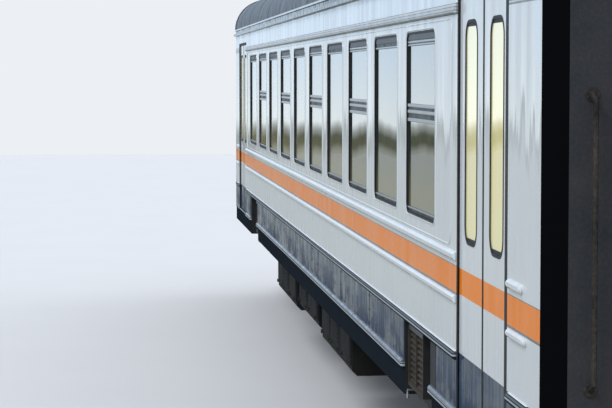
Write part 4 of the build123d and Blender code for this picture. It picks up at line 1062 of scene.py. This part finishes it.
def coupler_detail():
    """Knuckle, guard plates and bolts of the automatic couplers, lifting levers and air pipe cocks."""
    iron, rods = Shape(), Shape()
    x, z = GANGWAY_X, COUPLER_Z
    iron.box(span(x, -0.05, 0.03), (-0.105, 0.03), about(z, 0.09), 0.02)
    for level in about(z, 0.15):
        iron.box(span(x, -0.15, -0.01), (-0.12, 0.15), about(level, 0.012), 0.006)
    iron.box(span(x, -0.30, -0.14), about(0, 0.085), about(z, 0.105), 0.03)
    for y in about(0, 0.1425):
        for level in about(z, 0.06):
            iron.disc((END_X + 0.002, y, level), (1, 0, 0), 0.018, 0.014, steps=6)
    iron.box(span(END_X, -0.001, 0.03), about(0, 0.20), about(z, 0.12), 0.008)
    piece("coupler_parts", iron.copies(BOTH_ENDS), "cast_steel")
    lever, bar = END_X + 0.07, z + 0.13
    path = [(x - 0.06, 0.10, z + 0.15), (lever, 0.30, bar), (lever, 1.30, bar), (lever, 1.42, z + 0.02)]
    rods.tube(path, 0.011, 8)
    for y in (0.45, 1.2):
        rods.box(span(END_X, -0.001, 0.09), about(y, 0.02), span(z, 0.10, 0.16), 0.004)
    cock = END_X + 0.085
    for y in (-0.42, 0.42):
        path = [(END_X - 0.05, y, z + 0.05), (END_X + 0.08, y, z + 0.05), (END_X + 0.13, y, z - 0.01)]
        rods.tube(path, 0.022, 12)
        rods.disc((END_X + 0.05, y, z + 0.05), (1, 0, 0), 0.034, 0.02, 0.003, 6)
        rods.tube([(cock, y, z + 0.06), (cock, y, z + 0.10), (cock, y - 0.09, z + 0.11)], 0.007, 8)
    piece("coupler_rods", rods.copies(BOTH_ENDS), "frame_paint")


# Under the floor

BOX_TOP = height(1.06)
BOX_OUT_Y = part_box("equipment_boxes")[1].y
# Boxes of each side: start, stop and lower edge
EQUIPMENT = {
    "left": [(-4.6, -2.9, 0.59), (-2.6, -1.1, 0.67), (-0.8, 1.6, 0.59), (1.9, 2.9, 0.71)],
    "right": [(-4.6, -2.4, 0.59), (-2.1, -0.3, 0.65), (0.0, 2.2, 0.59)],
}
TANK_X0, TANK_X1 = 3.3, 4.6
TANK_Y, TANK_Z, TANK_R = 1.25, height(0.83), 0.165
# Air pipes: distance from the middle, height above the rail, radius
PIPES = [(0.34, 0.99, 0.021), (-0.34, 0.99, 0.021), (0.50, 0.97, 0.014)]


def box_door(doors, irons, x0, x1, z0, z1):
    """A door of a box with its raised panel, and its two hinges and latches."""
    y = BOX_OUT_Y
    doors.box((x0, x1), span(BOX_OUT_Y, -0.002, 0.010), (z0, z1), 0.004)
    doors.box((x0 + 0.05, x1 - 0.05), span(BOX_OUT_Y, 0, 0.015), (z0 + 0.05, z1 - 0.05), 0.005)
    for x in (x0 + 0.1, x1 - 0.1):
        irons.tube([(x - 0.035, y + 0.012, z1 + 0.004), (x + 0.035, y + 0.012, z1 + 0.004)], 0.010, 8)
        irons.disc((x, y + 0.010, z0 + 0.028), (0, 1, 0), 0.016, 0.012, steps=8)
        irons.box(about(x, 0.005), span(BOX_OUT_Y, 0.02, 0.03), span(z0, 0.01, 0.05), 0.002)


def equipment():
    """Doors, louvres and hangers of the boxes under the floor."""
    doors, irons, louvres = [Shape() for _ in range(3)]
    for side, boxes in EQUIPMENT.items():
        door, iron, louvre = [Shape() for _ in range(3)]
        for number, (start, stop, low) in enumerate(boxes):
            count = max(2, round((stop - start) / 0.8))
            width = (stop - start - 0.06) / count
            for i in range(count):
                x0, x1 = start + 0.04 + i * width, start + 0.02 + (i + 1) * width
                z0, z1 = low + 0.075, BOX_TOP - 0.04
                box_door(door, iron, x0, x1, z0, z1)
                levels = [z0 + 0.08 + 0.035 * k for k in range(7)] if (number + i) % 2 else []
                for z in levels:
                    if z < z1 - 0.1:
                        wide = (x0 + 0.09, x1 - 0.09)
                        louvre.box(wide, span(BOX_OUT_Y, 0.014, 0.022), span(z, 0, 0.018), 0.006)
            for x in (start + 0.12, stop - 0.12):
                iron.box(about(x, 0.03), span(BOX_OUT_Y, -0.05, 0.012), span(BOX_TOP, -0.002, 0.16), 0.004)
        for whole, part in ((doors, door), (irons, iron), (louvres, louvre)):
            whole.add(part, corner("front", side))
    piece("box_doors", doors, "box_paint")
    piece("box_irons", irons, "frame_paint")
    piece("box_louvres", louvres, "box_paint")


def air_tanks():
    """Domed ends, straps and drain cocks of the air tanks."""
    steel, straps = Shape(), Shape()
    skin = TANK_R + 0.001
    turns = (0.3, 0.6, 0.9, 1.2, 1.4)
    dome = [(-0.01, skin)] + [(0.06 * math.sin(t), skin * math.cos(t)) for t in turns] + [(0.06, 0)]
    for x, way in ((TANK_X0, -1), (TANK_X1, 1)):
        steel.lathe(dome, (x, TANK_Y, TANK_Z), (way, 0, 0))
    foot = TANK_Z - TANK_R
    steel.tube([(3.95, TANK_Y, foot + 0.01), (3.95, TANK_Y, foot - 0.05)], 0.014, 10)
    for x in (3.55, 4.35):
        ring = [(-0.025, TANK_R), (-0.025, TANK_R + 0.006), (0.025, TANK_R + 0.006), (0.025, TANK_R)]
        straps.lathe(ring, (x, TANK_Y, TANK_Z), (1, 0, 0))
        straps.disc((x, TANK_Y + TANK_R + 0.004, TANK_Z + 0.05), (0, 1, 0), 0.014, 0.014, steps=6)
    piece("tank_ends", steel.copies(BOTH_SIDES), "tank_paint")
    piece("tank_straps", straps.copies(BOTH_SIDES), "frame_paint")


def pipes():
    """Brake and main air pipes along the underframe with their clips, and cable trays."""
    runs, trays = Shape(), Shape()
    for y, level, radius in PIPES:
        z = height(level)
        runs.tube([(x, y, z) for x in (-5.9, -5.4, 5.4, 5.9)], radius, 12)
        for i in range(-3, 4):
            runs.box(about(i * WINDOW_PITCH, 0.02), about(y, 0.035), span(z, -0.03, 0.12), 0.004)
    for y in (-0.95, 0.95):
        trays.box(about(0, 5.3), about(y, 0.08), span(RAIL_Z, 1.12, 1.16), 0.006)
    piece("air_pipes", runs, "frame_paint")
    piece("cable_trays", trays, "frame_paint")


# Bogies

PIVOT_X = 6.65
AXLE_X = 1.2
SPRING_OFF = 0.25
SPRING_FOOT, BEAM_FOOT, BOLSTER_FOOT = height(0.40), height(0.64), height(0.83)
JOURNAL_Y = 1.018
DAMPER_Y = 1.165
BRAKE_BEAM_OFF = 0.545
AXLE_BOX_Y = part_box("axle_boxes_front")[1].y
SEAT = 0.012


def coil(x, y, low, high, radius, wire, turns):
    """A helical spring between its two seats, round a core."""
    steps = int(turns * 20)
    start, stop = low + wire + SEAT, high - wire - SEAT
    path = []
    for k in range(steps + 1):
        turn, z = 2 * math.pi * turns * k / steps, start + (stop - start) * k / steps
        path.append((x + radius * math.cos(turn), y + radius * math.sin(turn), z))
    made = Shape().tube(path, wire, 8)
    for z in (low, high - SEAT):
        made.disc((x, y, z), (0, 0, 1), radius + wire + 0.002, SEAT, steps=32)
    return made.tube([(x, y, low + 0.01), (x, y, high - 0.01)], radius - wire - 0.012, 16)


def bogie_springs(end, place):
    """Coils beside the axle boxes and under the bolster, with the plank under the bolster's."""
    coils, plank = Shape(), Shape()
    for side in SIDES.values():
        for way in (-1, 1):
            coils.add(coil(way * 0.11, side * 0.70, SPRING_FOOT, BOLSTER_FOOT, 0.080, 0.0175, 6.5))
            for x in about(way * AXLE_X, SPRING_OFF):
                coils.add(coil(x, side * JOURNAL_Y, SPRING_FOOT, BEAM_FOOT, 0.063, 0.0145, 4.5))
    body, solids = f"bogie_{end}", (f"bogie_springs_{end}",)
    piece(f"coils_{end}", coils.copies([place]), "spring_steel", body, stands_for=solids)
    plank.box(about(0, 0.2), about(0, JOURNAL_Y), span(SPRING_FOOT, -0.04, 0), 0.006)
    for side in SIDES.values():
        y = side * JOURNAL_Y
        plank.box(about(0, 0.04), (y - side * 0.03, y), (SPRING_FOOT - 0.01, height(0.56)), 0.005)
        for z in (height(0.44), height(0.53)):
            plank.tube([(x, y - side * 0.015, z) for x in (-0.055, 0.055)], 0.014, 12)
    piece(f"spring_plank_{end}", plank.copies([place]), "bogie_paint", body)


def axle_cover(covers, x, side):
    """The stepped round cover of an axle box, with its eight bolts."""
    y = side * AXLE_BOX_Y
    covers.disc((x, y - side * 0.004, AXLE_Z), (0, side, 0), 0.112, 0.022, 0.006, 48)
    covers.disc((x, y + side * 0.016, AXLE_Z), (0, side, 0), 0.066, 0.014, 0.004, 40)
    for k in range(8):
        turn = 2 * math.pi * (k + 0.5) / 8
        spot = (x + 0.092 * math.cos(turn), y + side * 0.018, AXLE_Z + 0.092 * math.sin(turn))
        covers.disc(spot, (0, side, 0), 0.011, 0.010, steps=6)


def damper(iron, way, side):
    """A slanting tube damper between the spring plank and the bolster, on two pins."""
    foot = Vector((way * 0.30, side * DAMPER_Y, SPRING_FOOT + 0.03))
    head = Vector((way * 0.06, side * DAMPER_Y, BOLSTER_FOOT + 0.06))
    axis = head - foot
    iron.lathe([(0, 0.034), (axis.length * 0.52, 0.034)], foot, axis, 20)
    iron.lathe([(0, 0.041), (axis.length * 0.45, 0.041)], head, -axis, 20)
    for spot in (foot, head):
        iron.tube([spot - Vector((0, side * 0.05, 0)), spot + Vector((0, side * 0.03, 0))], 0.02, 12)


def bogie_detail(end, place):
    """Axle box covers, spring bolts, beam plates, dampers and brake beams of one bogie."""
    iron, covers = Shape(), Shape()
    for side in SIDES.values():
        for x in (-AXLE_X, AXLE_X):
            axle_cover(covers, x, side)
            for spring_x in about(x, SPRING_OFF):
                spot = (spring_x, side * JOURNAL_Y)
                iron.disc((*spot, BEAM_FOOT + 0.16), (0, 0, 1), 0.05, 0.014, steps=24)
                iron.disc((*spot, BEAM_FOOT + 0.174), (0, 0, 1), 0.022, 0.03, steps=6)
            iron.box(about(x, 0.05), (side * 1.10, side * 1.125), span(BEAM_FOOT, 0.03, 0.13), 0.006)
        iron.box(about(0, 0.30), (side * 1.105, side * 1.12), span(BEAM_FOOT, -0.05, 0.12), 0.006)
        for x in (-0.24, -0.12, 0.12, 0.24):
            for z in (BEAM_FOOT - 0.02, BEAM_FOOT + 0.09):
                iron.disc((x, side * 1.12, z), (0, side, 0), 0.012, 0.010, steps=6)
        for way in (-1, 1):
            damper(iron, way, side)
        for x in (-0.30, 0.30):
            iron.box(about(x, 0.06), (side * 1.10, side * 1.14), span(SPRING_FOOT, 0, 0.06), 0.004)
    for way in (-1, 1):
        for x in about(way * AXLE_X, BRAKE_BEAM_OFF):
            iron.tube([(x, -0.80, AXLE_Z + 0.02), (x, 0.80, AXLE_Z + 0.02)], 0.028, 12)
    piece(f"bogie_irons_{end}", iron.copies([place]), "bogie_paint", f"bogie_{end}")
    piece(f"axle_covers_{end}", covers.copies([place]), "cast_steel", f"bogie_{end}")


WHEEL_BACK_Y = 0.72
# Profiles of a wheel: distance from its back, radius
TREAD = [
    (0.0, 0.425),
    (0.0, 0.488),
    (0.004, 0.499),
    (0.012, 0.505),
    (0.020, 0.502),
    (0.028, 0.489),
    (0.036, 0.4795),
    (0.060, 0.4765),
    (0.100, 0.475),
    (0.125, 0.4735),
    (0.130, 0.468),
    (0.130, 0.425),
]
WEB_BACK = [(0.0, 0.426), (0.012, 0.415), (0.042, 0.395), (0.050, 0.36), (0.036, 0.25), (0.022, 0.17)]
WEB_BACK += [(0.0, 0.155), (-0.03, 0.135), (-0.03, 0.0)]
WEB_FACE = [(0.130, 0.426), (0.118, 0.415), (0.088, 0.395), (0.084, 0.36), (0.072, 0.25), (0.090, 0.17)]
WEB_FACE += [(0.150, 0.145), (0.152, 0.12), (0.152, 0)]
# Half the axle: distance from its middle, radius
AXLE = [(-1.1, 0.060), (-1.095, 0.065), (-0.90, 0.065), (-0.88, 0.085), (-0.68, 0.09), (-0.64, 0.078)]
AXLE += [(-0.3, 0.072)]


def wheelset(number):
    """A coned and flanged wheel pair on its stepped axle, in the frame's place of one wheelset."""
    body = f"wheelset_{number}"
    low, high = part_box(body)
    x = (low.x + high.x) / 2
    rims, discs = Shape(), Shape()
    for side in SIDES.values():
        for shape, profile, steps in ((rims, TREAD, 96), (discs, WEB_BACK, 64), (discs, WEB_FACE, 64)):
            shape.lathe(profile, (x, side * WHEEL_BACK_Y, AXLE_Z), (0, side, 0), steps)
    axle = AXLE + [(-along, radius) for along, radius in AXLE[::-1]]
    discs.lathe(axle, (x, 0, AXLE_Z), (0, 1, 0), 40)
    piece(f"wheel_rims_{number}", rims, TREAD_STEEL, body, "wheel_steel", 30, (body,))
    piece(f"wheel_discs_{number}", discs, "wheel_steel", body, sharp=30)


# Inside

PARTITION_X = DOOR_IN_X - 0.081
SALOON_X = PARTITION_X - 0.045
PANEL_TOP = height(3.58)
RACK_LOW, RACK_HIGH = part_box("luggage_racks")


def lining():
    """Cream panels on the walls and ceilings of the saloon and the vestibules, and the lamps."""
    walls, side_panels, over_door, lamps = [Shape() for _ in range(4)]
    thick = span(LINING_Y, -0.007, 0)
    belt = (WINDOW_LOW - 0.045, WINDOW_HIGH + 0.045)
    walls.box(about(0, SALOON_X), thick, (FLOOR_Z, belt[0]))
    walls.box(about(0, SALOON_X), thick, (belt[1], PANEL_TOP))
    edges = [-SALOON_X, *[edge for x in WINDOW_XS for edge in about(x, GLASS_HALF + 0.06)], SALOON_X]
    for wide in zip(edges[::2], edges[1::2]):
        walls.box(wide, thick, belt)
    panels = walls.copies(BOTH_SIDES)
    ceiling = roof_line(-0.13)[4:-4] + roof_line(-0.14)[4:-4][::-1]
    panels.prism(ceiling, 0, -SALOON_X, SALOON_X)
    end_wall = span(END_X, -0.064, -0.06)
    side_panels.box((DOOR_OUT_X + 0.01, END_X - 0.07), thick, (FLOOR_Z, PANEL_TOP))
    side_panels.box(end_wall, (0.45, thick[0]), (FLOOR_Z, height(3.61)))
    over_door.box(end_wall, about(0, 0.45), span(RAIL_Z, 3.41, 3.61))
    over_door.box((PARTITION_X + 0.06, END_X - 0.07), about(0, 1.5), span(RAIL_Z, 3.62, 3.64))
    panels.add(side_panels.copies(CORNERS)).add(over_door.copies(MIRRORED_ENDS))
    lamps.box((8.0, 8.9), about(0, 0.35), span(RAIL_Z, 3.595, 3.615), 0.005)
    lamps = lamps.copies(MIRRORED_ENDS)
    piece("cream_panels", panels, "lining")
    for y in (-0.55, 0.55):
        for i in range(9):
            lamps.box(about((i - 4) * 1.6, 0.62), about(y, 0.09), span(RAIL_Z, 3.96, 3.99), 0.01)
    piece("ceiling_lamps", lamps, LAMP_GLOW)


def benches():
    """Slats, end rails and legs of the benches, and the bars and brackets of the luggage racks."""
    slats, irons = Shape(), Shape()
    aisle_y, wall_y = LINING_Y - 1.28, LINING_Y - 0.02
    for x in [(near + far) / 2 for near, far in zip(WINDOW_XS, WINDOW_XS[1:])]:
        for way in (-1, 1):
            for k in range(6):
                near, far = x + way * (0.08 + 0.066 * k), x + way * (0.134 + 0.066 * k)
                slats.box((near, far), (aisle_y, wall_y), span(FLOOR_Z, 0.43, 0.446), 0.005)
            for k in range(7):
                z = FLOOR_Z + 0.50 + 0.073 * k
                lean = 0.07 - 0.04 * (z - FLOOR_Z - 0.43) / 0.59
                slats.box(about(x + way * lean, 0.01), (aisle_y, wall_y), span(z, 0, 0.058), 0.005)
        rail = [(1.27, 1.0), (1.29, 1.06), (1.15, 1.07)]
        irons.tube([(x, LINING_Y - inward, FLOOR_Z + up) for inward, up in rail], 0.011, 8)
        tall = span(FLOOR_Z, 0.02, 0.36)
        irons.box(about(x, 0.15), span(LINING_Y, -1.195, -1.190), tall, 0.002)
    piece("bench_slats", slats.copies(BOTH_SIDES), "seat_wood")
    for i in range(7):
        y, z = LINING_Y - 0.03 - 0.05 * i, RACK_LOW.z + 0.015
        irons.tube([(RACK_LOW.x, y, z), (RACK_HIGH.x, y, z)], 0.007, 8)
    bracket = [(0, -0.12), (0.04, -0.02), (0.335, 0.003), (0.34, 0.03)]
    for x in WINDOW_XS:
        irons.tube([(x, LINING_Y - inward, RACK_LOW.z + up) for inward, up in bracket], 0.009, 8)
    piece("rack_rails", irons.copies(BOTH_SIDES), "rack_metal", stands_for=("luggage_racks",))


def dress():
    """Make every piece of the scene that rides on the coach."""
    side_windows()
    doorway_seals()
    for end in ENDS:
        for side in SIDES:
            for leaf in LEAVES:
                leaf_trim(end, side, *leaf)
    for part in (side_beads, rib_ends, band_joints, intakes, roof_detail, gangway, end_walls):
        part()
    for part in (coupler_detail, equipment, air_tanks, pipes):
        part()
    for end, way in ENDS.items():
        place = Matrix.Translation((way * PIVOT_X, 0, 0))
        bogie_springs(end, place)
        bogie_detail(end, place)
    for number in (1, 2, 3, 4):
        wheelset(number)
    lining()
    benches()


bpy.context.scene.view_settings.view_transform = "Standard"
dress_nodes()
dress()
make_camera()
make_lights()
make_floor()
